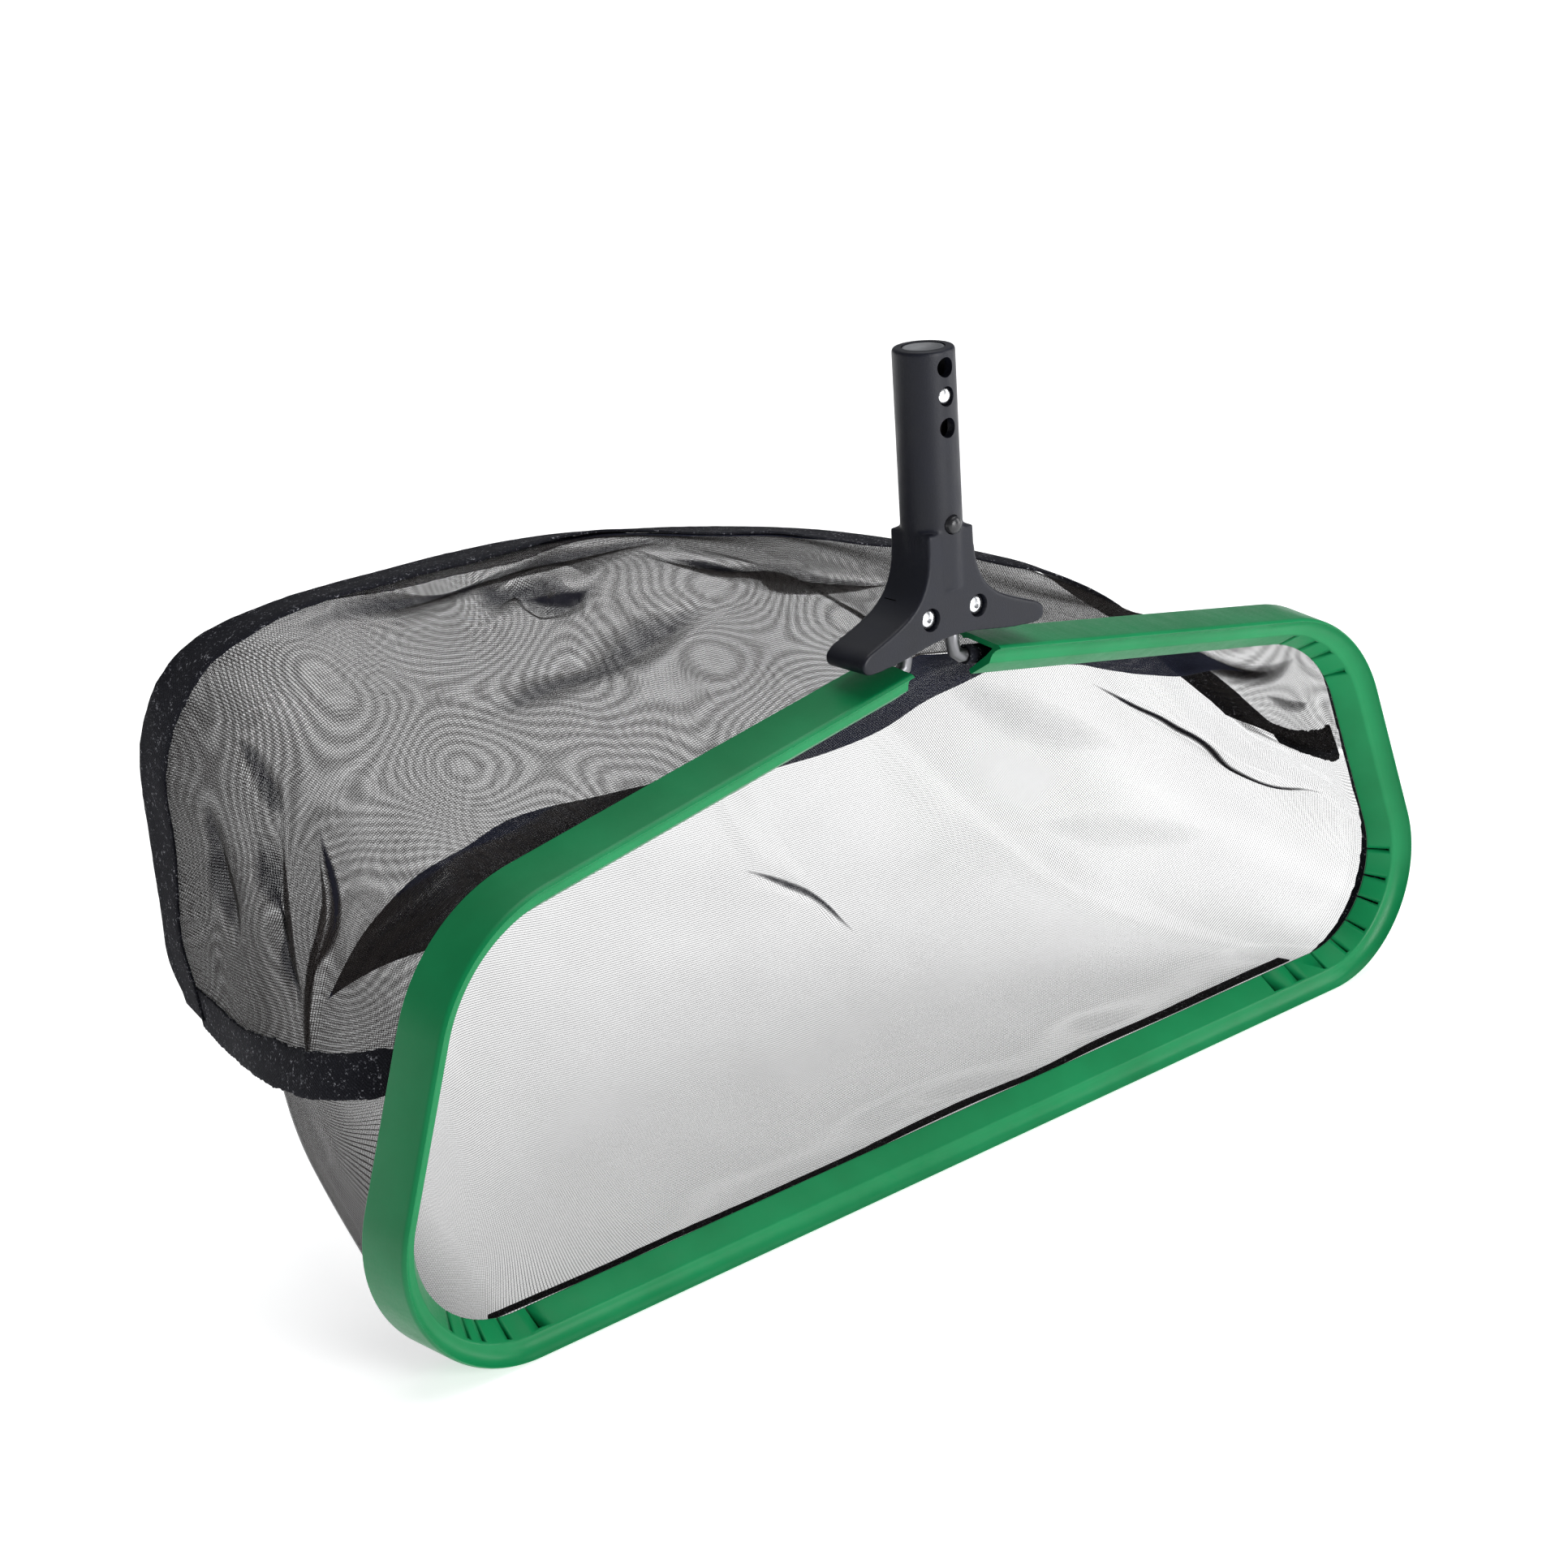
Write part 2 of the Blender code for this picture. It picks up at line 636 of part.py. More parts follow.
def grid_normal(grid, across, along):
    step = 0.02
    low, high = max(across - step, 0.0), min(across + step, 1.0)
    front, back = max(along - step, 0.0), min(along + step, 1.0)
    sideways = grid_point(grid, high, along) - grid_point(grid, low, along)
    backwards = grid_point(grid, across, back) - grid_point(grid, across, front)
    return sideways.cross(backwards).normalized()


def make_binding(name, width, places, inner_step):
    """A tape laid on the top panel's edge and past the seam, through places on it.

    inner_step leads from the edge to a place just inside the panel.
    """
    columns = []
    lift = PANEL_CLOTH / 2 + CLEARANCE + BINDING_CLOTH / 2 + BINDING_SLACK
    for across, along in places:
        edge = grid_point(TOP_GRID, across, along)
        step = grid_point(TOP_GRID, across + inner_step[0], along + inner_step[1]) - edge
        column = []
        for share in (1.0, 0.75, 0.5, 0.25):
            reach = share * width / step.length
            spot = (across + inner_step[0] * reach, along + inner_step[1] * reach)
            column.append(grid_point(TOP_GRID, *spot) + grid_normal(TOP_GRID, *spot) * lift)
        lifted_edge = edge + grid_normal(TOP_GRID, across, along) * lift
        column += [lifted_edge, lifted_edge - step.normalized() * BINDING_PAST_SEAM]
        columns.append(column)
    return grid_object(name, columns, BINDING_CLOTH, BINDING_BLACK)


def make_bindings():
    """Three tapes: left side, rear edge with the top, and right side."""
    last = len(TOP_GRID) - 1
    make_binding("seam_binding_rear", BINDING_ON_ROOF,
                 [(column / last, 1.0) for column in range(last + 1)], (0.0, -0.05))
    for name, across, step in (("seam_binding_left", 0.0, 0.02),
                               ("seam_binding_right", 1.0, -0.02)):
        edge = TOP_GRID[round(across) * last][1:]
        length = sum((b - a).length for a, b in zip(edge, edge[1:]))
        end = 1 - (BINDING_ON_ROOF + BINDING_GAP) / length      # the rear tape covers the rest
        count = max(4, math.ceil(end * (PANEL_ROWS - 1)))
        make_binding(name, BINDING_ON_SIDE,
                     [(across, end * part / count) for part in range(count + 1)], (step, 0.0))

# ---- Handle ---------------------------------------------------------------------


def yoke_outline():
    """The yoke's front outline, in x and z, right half from shoulder to middle."""
    half = [(0.0118, 0.2680), (0.0122, 0.2620), (0.0130, 0.2560), (0.0145, 0.2505),
            (0.0180, 0.2455), (0.0240, 0.2410), (0.0310, 0.2375), (0.0400, 0.2345),
            (0.0470, 0.2325), (0.0497, 0.2303), (0.0497, 0.2272), (0.0465, 0.2251),
            (0.0380, 0.2252), (0.0280, 0.2260), (0.0180, 0.2278), (0.0080, 0.2295)]
    return half + [(-x, z) for x, z in reversed(half)]


def make_yoke_blank():
    curve = bpy.data.curves.new("yoke", "CURVE")
    curve.dimensions = "2D"
    curve.fill_mode = "BOTH"
    curve.extrude = YOKE_DEPTH / 2
    spline = curve.splines.new("POLY")
    outline = yoke_outline()
    spline.points.add(len(outline) - 1)
    for point, (x, z) in zip(spline.points, outline):
        point.co = (x, z, 0.0, 1.0)
    spline.use_cyclic_u = True
    holder = bpy.data.objects.new("yoke_curve", curve)
    holder.rotation_euler = (math.radians(90), 0.0, 0.0)
    PARTS.objects.link(holder)
    return solid_from_curve("handle_casting", holder, CAST_BLACK)


def make_handle_casting():
    casting = make_yoke_blank()
    bevel(casting, YOKE_ROUNDING, segments=3, angle=60)
    rim = 0.0012
    tube = turned("spigot_body", [(0.0, SPIGOT_TOP), (SPIGOT_RADIUS - rim, SPIGOT_TOP),
                                  (SPIGOT_RADIUS, SPIGOT_TOP - rim),
                                  (SPIGOT_RADIUS, BORE_FLOOR - 0.006),
                                  (SPIGOT_RADIUS - 0.004, BORE_FLOOR - 0.014),
                                  (0.0, BORE_FLOOR - 0.014)], CAST_BLACK, CUTTERS, 40)
    boolean(casting, make_cutter(tube), "UNION")
    bore_length = SPIGOT_TOP - BORE_FLOOR + 0.002
    boolean(casting, cylinder_cutter("bore", BORE_RADIUS, bore_length,
                                     (0.0, 0.0, BORE_FLOOR + bore_length / 2), "Z"))
    for index, height in enumerate((*ROUND_HOLES_Z, BUTTON_Z)):
        boolean(casting, cylinder_cutter(f"cross_hole_{index}", HOLE_RADIUS, 0.04,
                                         (0.0, 0.0, height), "Y", facets=24))
    for side in (1, -1):
        front = -YOKE_DEPTH / 2
        boolean(casting, cylinder_cutter(f"counterbore_{side}", COUNTERBORE_RADIUS,
                                         2 * COUNTERBORE_DEPTH,
                                         (side * SCREW_X, front, SCREW_Z), "Y", facets=24))
        boolean(casting, cylinder_cutter(f"screw_hole_{side}", SCREW_HOLE_RADIUS, 0.04,
                                         (side * SCREW_X, 0.0, SCREW_Z), "Y", facets=16))
        slot = box_cutter(f"hoop_slot_{side}",
                          (side * SCREW_X - TAB_WIDTH / 2 - 0.0006, HOOP_Y - SLOT_WALL_Y, 0.2150),
                          (side * SCREW_X + TAB_WIDTH / 2 + 0.0006, HOOP_Y + SLOT_WALL_Y,
                           TAB_TOP + 0.0006))
        boolean(casting, slot)
    return casting


def make_end_plug():
    top = SPIGOT_TOP - 0.0003
    recess = 0.0008
    low = top - PLUG_THICKNESS
    profile = [(0.0, top - recess), (PLUG_RADIUS - 0.0018, top - recess),
               (PLUG_RADIUS - 0.0012, top), (PLUG_RADIUS - 0.0003, top),
               (PLUG_RADIUS, top - 0.0003), (PLUG_RADIUS, low), (0.0, low)]
    return turned("spigot_end_plug", profile, PLUG_GREY)


def make_spring_pin():
    """A pin along Y with domed ends that stand just inside the spigot's wall."""
    half = 0.0118
    dome = [(PIN_RADIUS * math.sin(angle), half - 0.0012 * (1 - math.cos(angle)))
            for angle in (0.0, math.radians(30), math.radians(60), math.radians(90))]
    profile = dome + [(radius, -height) for radius, height in reversed(dome)]
    pin = turned("spring_cross_pin", profile, BRIGHT_STEEL, facets=24)
    return point_along_y(pin, -1, z=ROUND_HOLES_Z[1])


def make_snap_spring():
    """A strip folded to a V over the pin, with a hole for it in each leg."""
    bend_z = ROUND_HOLES_Z[1] + 0.0020
    right = [Vector((0.0, SPRING_LEG_Y + 0.0003, SPRING_END_Z)),
             Vector((0.0, SPRING_LEG_Y, BUTTON_Z)),
             Vector((0.0, SPRING_LEG_Y - 0.0008, BUTTON_Z + 0.022))]
    arc = [Vector((0.0, SPRING_BEND_RADIUS * math.cos(angle),
                   bend_z + SPRING_BEND_RADIUS * math.sin(angle)))
           for angle in (math.pi * part / 8 for part in range(9))]
    left = [Vector((0.0, -point.y, point.z)) for point in reversed(right)]
    route = right + arc + left
    half = Vector((SPRING_WIDTH / 2, 0.0, 0.0))
    columns = [[point - half, point, point + half] for point in route]
    spring = grid_object("snap_spring", columns, SPRING_CLOTH, SPRING_STEEL)
    hole = cylinder_cutter("spring_pin_hole", PIN_RADIUS + CLEARANCE, 0.03,
                           (0.0, 0.0, ROUND_HOLES_Z[1]), "Y", facets=16)
    return boolean(spring, hole)


def make_snap_button(name, towards):
    """A flanged, domed button along Y; its origin is on the slide's axis."""
    base = SPRING_LEG_Y + SPRING_CLOTH / 2 + CLEARANCE
    dome = [(BUTTON_RADIUS * math.sin(angle), BUTTON_TIP_Y - 0.0018 * (1 - math.cos(angle)))
            for angle in (math.radians(22.5 * part) for part in range(5))]
    shoulder = base + BUTTON_FLANGE_THICKNESS
    profile = dome + [(BUTTON_RADIUS, shoulder), (BUTTON_FLANGE_RADIUS, shoulder),
                      (BUTTON_FLANGE_RADIUS, base), (0.0, base)]
    button = turned(name, profile, BUTTON_BLACK, facets=24)
    return point_along_y(button, towards, z=BUTTON_Z)

# ---- Fasteners --------------------------------------------------------------------


def make_frame_screw(name, x):
    """A domed head with a hexagon socket, seated in the counterbore."""
    seat = YOKE_DEPTH / 2 - COUNTERBORE_DEPTH + CLEARANCE
    shank_end = -(YOKE_DEPTH / 2 + WASHER_HEIGHT + NUT_HEIGHT + 0.0012)
    head = [(SCREW_HEAD_RADIUS * math.sin(angle),
             seat + SCREW_HEAD_HEIGHT * (0.35 + 0.65 * math.cos(angle)))
            for angle in (math.radians(22.5 * part) for part in range(5))]
    profile = head + [(SCREW_HEAD_RADIUS, seat), (SCREW_SHANK_RADIUS, seat),
                      (SCREW_SHANK_RADIUS, shank_end + 0.0005),
                      (SCREW_SHANK_RADIUS - 0.0005, shank_end), (0.0, shank_end)]
    screw = turned(name, profile, BRIGHT_STEEL, facets=24)
    socket = cylinder_cutter(f"{name}_socket", 0.0016, 0.0040,
                             (x, -(seat + SCREW_HEAD_HEIGHT), SCREW_Z), "Y", facets=6)
    point_along_y(screw, -1, x=x, z=SCREW_Z)
    return boolean(screw, socket)


def make_lock_washer(name, x):
    near = YOKE_DEPTH / 2 + CLEARANCE
    hole = SCREW_SHANK_RADIUS + CLEARANCE
    profile = [(hole, near + WASHER_HEIGHT), (WASHER_RADIUS, near + WASHER_HEIGHT),
               (WASHER_RADIUS, near), (hole, near)]
    return point_along_y(turned(name, profile, BRIGHT_STEEL, facets=20), 1, x=x, z=SCREW_Z)


def make_frame_nut(name, x):
    near = YOKE_DEPTH / 2 + WASHER_HEIGHT + 2 * CLEARANCE
    bm = bmesh.new()
    radius = NUT_FLATS / 2 / math.cos(math.radians(30))
    bmesh.ops.create_cone(bm, cap_ends=True, segments=6, radius1=radius, radius2=radius,
                          depth=NUT_HEIGHT)
    nut = mesh_object(name, bm, BRIGHT_STEEL)
    nut.location = (x, near + NUT_HEIGHT / 2, SCREW_Z)
    nut.rotation_euler = (math.radians(90), 0.0, 0.0)
    bevel(nut, 0.0004, segments=1, angle=50)
    hole = cylinder_cutter(f"{name}_hole", SCREW_SHANK_RADIUS + CLEARANCE, 0.01,
                           (x, near + NUT_HEIGHT / 2, SCREW_Z), "Y", facets=16)
    return boolean(nut, hole)

# ---- Assembly ---------------------------------------------------------------------


def main():
    make_edge_lip()
    make_frame_hoop()
    make_mouth_hem()
    grid_object("bag_top_panel", TOP_GRID, PANEL_CLOTH, MESH_BLACK)
    grid_object("bag_bottom_panel", BOTTOM_GRID, PANEL_CLOTH, MESH_BLACK)
    make_bindings()
    make_handle_casting()
    make_end_plug()
    make_spring_pin()
    make_snap_spring()
    make_snap_button("snap_button_front", -1)
    make_snap_button("snap_button_rear", 1)
    for name, x in (("left", -SCREW_X), ("right", SCREW_X)):
        make_frame_screw(f"frame_screw_{name}", x)
        make_lock_washer(f"lock_washer_{name}", x)
        make_frame_nut(f"frame_nut_{name}", x)


main()
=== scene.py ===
"""Looks of the deep-bag leaf skimmer net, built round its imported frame.

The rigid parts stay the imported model's own or are rebuilt in the same place with
softer edges. The bag, its hem and its tapes are rebuilt as fine cloth with folds.
All sizes are in metres, in the frame's own axes.
"""
import math

import bmesh
import bpy
import numpy as np
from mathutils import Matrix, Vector, noise


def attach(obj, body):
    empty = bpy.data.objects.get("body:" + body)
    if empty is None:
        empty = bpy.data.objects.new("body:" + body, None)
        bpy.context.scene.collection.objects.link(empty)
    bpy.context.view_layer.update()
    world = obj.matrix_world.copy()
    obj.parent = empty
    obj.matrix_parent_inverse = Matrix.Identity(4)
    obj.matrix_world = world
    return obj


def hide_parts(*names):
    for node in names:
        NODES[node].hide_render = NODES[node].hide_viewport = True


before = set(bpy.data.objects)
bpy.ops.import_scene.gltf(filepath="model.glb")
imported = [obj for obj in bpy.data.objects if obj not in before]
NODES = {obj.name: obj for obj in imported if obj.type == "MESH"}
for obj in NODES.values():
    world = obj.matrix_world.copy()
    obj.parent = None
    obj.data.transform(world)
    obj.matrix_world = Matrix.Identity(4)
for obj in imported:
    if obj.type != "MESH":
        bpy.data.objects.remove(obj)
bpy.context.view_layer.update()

# ---- Sizes shared with the solids ------------------------------------------------

BOTTOM_HALF = 0.310
SHOULDER_HALF = 0.249
SHOULDER_Z = 0.1795
PEAK_Z = 0.2245
LOWER_RADIUS = 0.056
UPPER_RADIUS = 0.070
PEAK_RADIUS = 0.020
SEAM_Z = 0.118

LIP_DEPTH = 0.025
LIP_FLARE = 0.0025
LIP_GAP_HALF = 0.024
HOOP_INSET = 0.0063
HOOP_Y = 0.0052
HOOP_RADIUS = 0.0030
HEM_GAP_HALF = 0.0205
HEM_REAR = 0.0125

PANEL_FRONT = 0.0115
PANEL_FREE = 0.0185
PANEL_ROWS = 11
SEAM_SETBACK = 0.0015
BELLY_SETBACK = 0.0024
ROOF_LEAVE = 0.055
ROOF_SPREAD = 0.030
ROOF_LIFT = 0.030
ROOF_SINK = 0.036
ROOF_ARRIVE = 0.050
ROOF_END_LIFT = 0.012
ROOF_END_SINK = 0.010
BELLY_LEAVE = Vector((0.0, 0.115, 0.014))
BELLY_INWARDS = 0.135
BELLY_BACK = 0.045
SIDE_LEAVE = Vector((0.0, 0.040, -0.008))
SIDE_ARRIVE = 0.050
CUSHION_START = 0.55
FILL_PASSES = 300
FILL_LOAD = 0.51
SAG_LOAD = 3.0
SAG_PLACE, SAG_WIDTH = -0.9, 0.2
BINDING_ON_ROOF = 0.0200
BINDING_ON_SIDE = 0.0130
BINDING_PAST_SEAM = 0.0045


def mm(points):
    """Points given in millimetres, as Vectors in metres."""
    return [Vector(point) / 1000 for point in points]


LEFT_SIDE_SEAM = mm([(-277, 48, 111), (-274, 95, 103), (-262, 142, 96), (-250, 190, 94)])
REAR_SEAM = mm([(-250, 190, 94), (-251, 199, 118), (-252, 198, 165), (-255, 189, 209),
                (-247, 170, 244), (-215, 162, 258), (-150, 171, 257), (-62, 188, 249),
                (10, 195, 236), (88, 193, 219), (148, 176, 202), (196, 145, 185), (220, 110, 160),
                (245, 83, 128), (262, 66, 106)])
RIGHT_SIDE_SEAM = mm([(273, 40, 99), (262, 66, 106)])

# ---- Camera, lights and floor ----------------------------------------------------

scene = bpy.context.scene
AIR_LIGHT, AIR_LOOK = 0.25, 1.05
FLOOR_HALF = 30.0


def make_camera():
    data = bpy.data.cameras.new("photo_camera")
    data.lens = 72.41
    data.sensor_width = 36.0
    data.sensor_fit = "HORIZONTAL"
    data.clip_start, data.clip_end = 0.02, 40.0
    camera = bpy.data.objects.new("photo_camera", data)
    camera.location = (-0.8234, -0.8950, 0.6020)
    camera.rotation_euler = [math.radians(a) for a in (70.3498, 3.5321, -40.7983)]
    scene.collection.objects.link(camera)
    scene.camera = camera


def area_light(name, location, aim, size, watts):
    data = bpy.data.lights.new(name, "AREA")
    data.shape = "RECTANGLE"
    data.size, data.size_y = size
    data.energy = watts
    light = bpy.data.objects.new(name, data)
    light.location = location
    heading = Vector(aim) - Vector(location)
    light.rotation_euler = heading.to_track_quat("-Z", "Y").to_euler()
    scene.collection.objects.link(light)


def make_studio():
    scene.view_settings.view_transform = "Standard"
    scene.world = bpy.data.worlds.new("studio_air")
    scene.world.use_nodes = True
    tree = scene.world.node_tree
    background = tree.nodes["Background"]
    background.inputs["Color"].default_value = (0.95, 0.97, 1.0, 1.0)
    # The air lights the part softly, and looks as pale as the floor where it shows.
    light_path = tree.nodes.new("ShaderNodeLightPath")
    strength = tree.nodes.new("ShaderNodeMapRange")
    strength.inputs["To Min"].default_value = AIR_LIGHT
    strength.inputs["To Max"].default_value = AIR_LOOK
    tree.links.new(light_path.outputs["Is Camera Ray"], strength.inputs["Value"])
    tree.links.new(strength.outputs["Result"], background.inputs["Strength"])
    sky = bpy.data.lights.new("overhead_soft_light", "SUN")
    sky.energy = 1.5
    sky.angle = math.radians(55)
    overhead = bpy.data.objects.new("overhead_soft_light", sky)
    overhead.rotation_euler = (math.radians(-8), math.radians(14), 0.0)
    scene.collection.objects.link(overhead)
    area_light("front_soft_box", (0.2, -1.8, 0.6), (0.05, 0.0, 0.10), (0.9, 0.7), 26)
    area_light("right_strip", (1.5, -0.9, 0.6), (0.2, 0.0, 0.12), (0.35, 1.2), 9)
    mesh = bpy.data.meshes.new("studio_floor")
    corners = [(-1, -1), (1, -1), (1, 1), (-1, 1)]
    mesh.from_pydata([(x * FLOOR_HALF, y * FLOOR_HALF, 0.0) for x, y in corners], [],
                     [(0, 1, 2, 3)])
    mesh.materials.append(floor_material())
    floor = bpy.data.objects.new("studio_floor", mesh)
    scene.collection.objects.link(floor)


# ---- Material helpers --------------------------------------------------------------


class Nodes:
    """A short way to wire a material's nodes. Inputs are named with _ for a space."""

    def __init__(self, name, **shader):
        self.material = bpy.data.materials.new(name)
        self.material.use_nodes = True
        self.tree = self.material.node_tree
        self.shader = self.tree.nodes["Principled BSDF"]
        self.fill(self.shader, **shader)
        self.place = self.node("ShaderNodeTexCoord").outputs

    def put(self, socket, value):
        """Link an input or set its value; None leaves it as it is."""
        if isinstance(value, bpy.types.NodeSocket):
            self.tree.links.new(value, socket)
        elif value is not None:
            socket.default_value = value

    def fill(self, node, **inputs):
        for name, value in inputs.items():
            self.put(node.inputs[name.replace("_", " ")], value)

    def node(self, kind, **inputs):
        node = self.tree.nodes.new(kind)
        self.fill(node, **inputs)
        return node

    def axis(self, where, letter):
        """One axis of a set of coordinates."""
        return self.node("ShaderNodeSeparateXYZ", Vector=self.place[where]).outputs[letter]

    def noise(self, scale, detail=3.0, roughness=0.55, stretch=(1.0, 1.0, 1.0)):
        vector = self.node("ShaderNodeMapping", Scale=stretch, Vector=self.place["Object"])
        return self.node("ShaderNodeTexNoise", Scale=scale, Detail=detail, Roughness=roughness,
                         Vector=vector.outputs["Vector"]).outputs["Fac"]

    def math(self, operation, *values, clamp=False):
        node = self.node("ShaderNodeMath")
        node.operation, node.use_clamp = operation, clamp
        for socket, value in zip(node.inputs, values):
            self.put(socket, value)
        return node.outputs[0]

    def wave(self, operation, where, letter, pitch):
        """A wave with the given pitch along one axis of a set of coordinates."""
        return self.math(operation, self.math("MULTIPLY", self.axis(where, letter),
                                              math.tau / pitch))

    def remap(self, value, low, high, to_low, to_high):
        return self.node("ShaderNodeMapRange", Value=value, From_Min=low, From_Max=high,
                         To_Min=to_low, To_Max=to_high).outputs["Result"]

    def ramp(self, value, *stops):
        node = self.node("ShaderNodeValToRGB", Fac=value)
        elements = node.color_ramp.elements
        while len(elements) < len(stops):
            elements.new(0.5)
        for element, (position, colour) in zip(elements, stops):
            element.position = position
            element.color = (*colour, 1.0)
        return node.outputs["Color"]

    def bump(self, height, strength, distance, onto=None):
        return self.node("ShaderNodeBump", Strength=strength, Distance=distance,
                         Height=height, Normal=onto).outputs["Normal"]

    def finish(self, colour, roughness=None, normal=None, alpha=None):
        self.fill(self.shader, Base_Color=colour, Roughness=roughness, Normal=normal,
                  Alpha=alpha)
        return self.material


def floor_material():
    n = Nodes("floor_pale", Roughness=0.9, Specular_IOR_Level=0.1,
              Emission_Color=(1.0, 1.0, 1.0, 1.0), Emission_Strength=0.60)
    cloud = n.noise(2.0, detail=2.0)
    return n.finish(n.ramp(cloud, (0.3, (0.80, 0.80, 0.80)), (0.7, (0.84, 0.84, 0.84))))


def lip_material():
    n = Nodes("green_plastic", Specular_IOR_Level=0.24)
    flow = n.noise(24.0, detail=4.0)
    pores = n.noise(900.0, detail=2.0)
    scuffs = n.noise(140.0, detail=5.0, roughness=0.7, stretch=(1.0, 0.25, 1.0))
    colour = n.ramp(flow, (0.30, (0.001, 0.170, 0.052)), (0.70, (0.003, 0.215, 0.070)))
    rough = n.remap(n.math("ADD", n.math("MULTIPLY", scuffs, 0.6),
                           n.math("MULTIPLY", pores, 0.4)), 0.3, 0.7, 0.27, 0.46)
    normal = n.bump(pores, 0.05, 0.0004, n.bump(flow, 0.08, 0.001))
    return n.finish(colour, rough, normal)


def cast_material():
    n = Nodes("cast_black", Specular_IOR_Level=0.30)
    grain = n.noise(1400.0, detail=2.0)
    patches = n.noise(60.0, detail=4.0)
    colour = n.ramp(patches, (0.30, (0.003, 0.0036, 0.008)), (0.72, (0.006, 0.007, 0.014)))
    rough = n.remap(patches, 0.3, 0.7, 0.36, 0.52)
    return n.finish(colour, rough, n.bump(grain, 0.16, 0.0003, n.bump(patches, 0.10, 0.0008)))


def steel_material(name, tone, low, high):
    n = Nodes(name, Metallic=1.0)
    brushed = n.noise(300.0, stretch=(1.0, 6.0, 1.0))
    colour = n.ramp(brushed, (0.3, tuple(c * 0.88 for c in tone)), (0.7, tone))
    return n.finish(colour, n.remap(brushed, 0.3, 0.7, low, high), n.bump(brushed, 0.08, 0.0002))


def plastic_material(name, dark, light, rough):
    n = Nodes(name)
    grain = n.noise(900.0)
    tone = n.noise(90.0)
    return n.finish(n.ramp(tone, (0.3, dark), (0.7, light)),
                    n.remap(grain, 0.3, 0.7, rough - 0.06, rough + 0.08),
                    n.bump(grain, 0.12, 0.0002))


WEAVE_PITCH = 0.0010
# The slack cloth by the left side lies closer together and looks darker.
SLACK_FROM_TO, SLACK_COVER = (-0.262, -0.222), 0.24
NET_TONE = (0.020, 0.017, 0.016)
HEM_TONE = (0.007, 0.008, 0.016)


def mesh_material(name, least, most, absorb, threads=(0.80, 0.93), rings=0.0, tone=NET_TONE):
    """Fine black net: threads by alpha, and its own depth by absorption inside.

    Where the roof is seen over the floor the two weaves beat against each other;
    rings is how strongly the roof's threads show those soft curved bands.
    """
    n = Nodes(name, Roughness=0.62, Specular_IOR_Level=0.08)
    # Two waves over the cloth's flat coordinates, each 1 in the middle of a thread.
    across, along = (n.wave("COSINE", "UV", letter, WEAVE_PITCH) for letter in "XY")
    crest = n.math("MAXIMUM", across, along)
    thread = n.math("MULTIPLY", n.remap(crest, *threads, 0.0, 1.0), 1.0, clamp=True)
    patchy = n.noise(28.0)
    cover = n.math("MULTIPLY", n.remap(thread, 0.0, 1.0, least, most),
                   n.remap(patchy, 0.3, 0.7, 0.94, 1.06))
    if rings:
        swirl = n.noise(11.0, detail=0.6, stretch=(1.0, 0.8, 1.0))
        beat = n.math("SINE", n.math("MULTIPLY", swirl, 360.0))
        fine = n.math("SINE", n.math("MULTIPLY", n.noise(19.0, detail=0.4), 240.0))
        both = n.math("ADD", beat, n.math("MULTIPLY", fine, 0.5))
        cover = n.math("ADD", cover, n.math("MULTIPLY", both, rings))
    slack = n.remap(n.axis("Object", "X"), *SLACK_FROM_TO, SLACK_COVER, 0.0)
    alpha = n.math("MAXIMUM", n.math("ADD", cover, slack), 0.0, clamp=True)
    colour = n.ramp(patchy, (0.3, tone), (0.7, tuple(1.6 * c for c in tone)))
    height = n.math("ADD", across, along)
    material = n.finish(colour, None, n.bump(height, 0.35, 0.0002), alpha)
    volume = n.node("ShaderNodeVolumeAbsorption", Color=(0.0, 0.0, 0.0, 1.0), Density=absorb)
    n.fill(n.tree.nodes["Material Output"], Volume=volume.outputs[0])
    return material


def doubled_net_and_fold_shade_material(name, dark):
    """The same net where a fold lies over itself, partly doubled cloth and partly painted shade of
    the fold, darker and fading to its rims.

    The ribbon's UVs run from 0 to 1, along it and across it.
    """
    n = Nodes(name, Roughness=0.7, Specular_IOR_Level=0.05)
    cloud = n.noise(260.0)
    # This alpha is painted shade along the fold; dark sets how strong it is.
    fold_shade_alpha = n.remap(cloud, 0.30, 0.70, dark * 0.85, dark * 1.15)
    for letter, steep in (("X", 6.0), ("Y", 4.0)):
        place = n.axis("UV", letter)
        rim = n.math("MULTIPLY", place, n.math("SUBTRACT", 1.0, place))
        fold_shade_alpha = n.math("MULTIPLY", fold_shade_alpha, n.math("MULTIPLY", rim, steep, clamp=True), clamp=True)
    return n.finish((0.010, 0.010, 0.016, 1.0), None, n.bump(cloud, 0.2, 0.0003), fold_shade_alpha)


def tape_material(name):
    """Black woven tape: ribs across, rows along, and pale specks of lint."""
    n = Nodes(name, Roughness=0.92, Specular_IOR_Level=0.25)
    weave = n.math("MULTIPLY", n.wave("SINE", "UV", "X", 0.0016),
                   n.wave("SINE", "UV", "Y", 0.0014))
    speck = n.noise(780.0, roughness=0.85)
    lint = n.noise(230.0, detail=4.0, roughness=0.75)
    pale = n.math("MULTIPLY", n.remap(speck, 0.53, 0.64, 0.0, 1.0),
                  n.remap(lint, 0.42, 0.60, 0.10, 1.0), clamp=True)
    colour = n.ramp(pale, (0.0, (0.0035, 0.0038, 0.0075)), (0.35, (0.012, 0.013, 0.020)),
                    (1.0, (0.36, 0.36, 0.39)))
    return n.finish(colour, None, n.bump(weave, 0.6, 0.0004, n.bump(lint, 0.5, 0.0008)))


# ---- Curves, outlines and grids ----------------------------------------------------


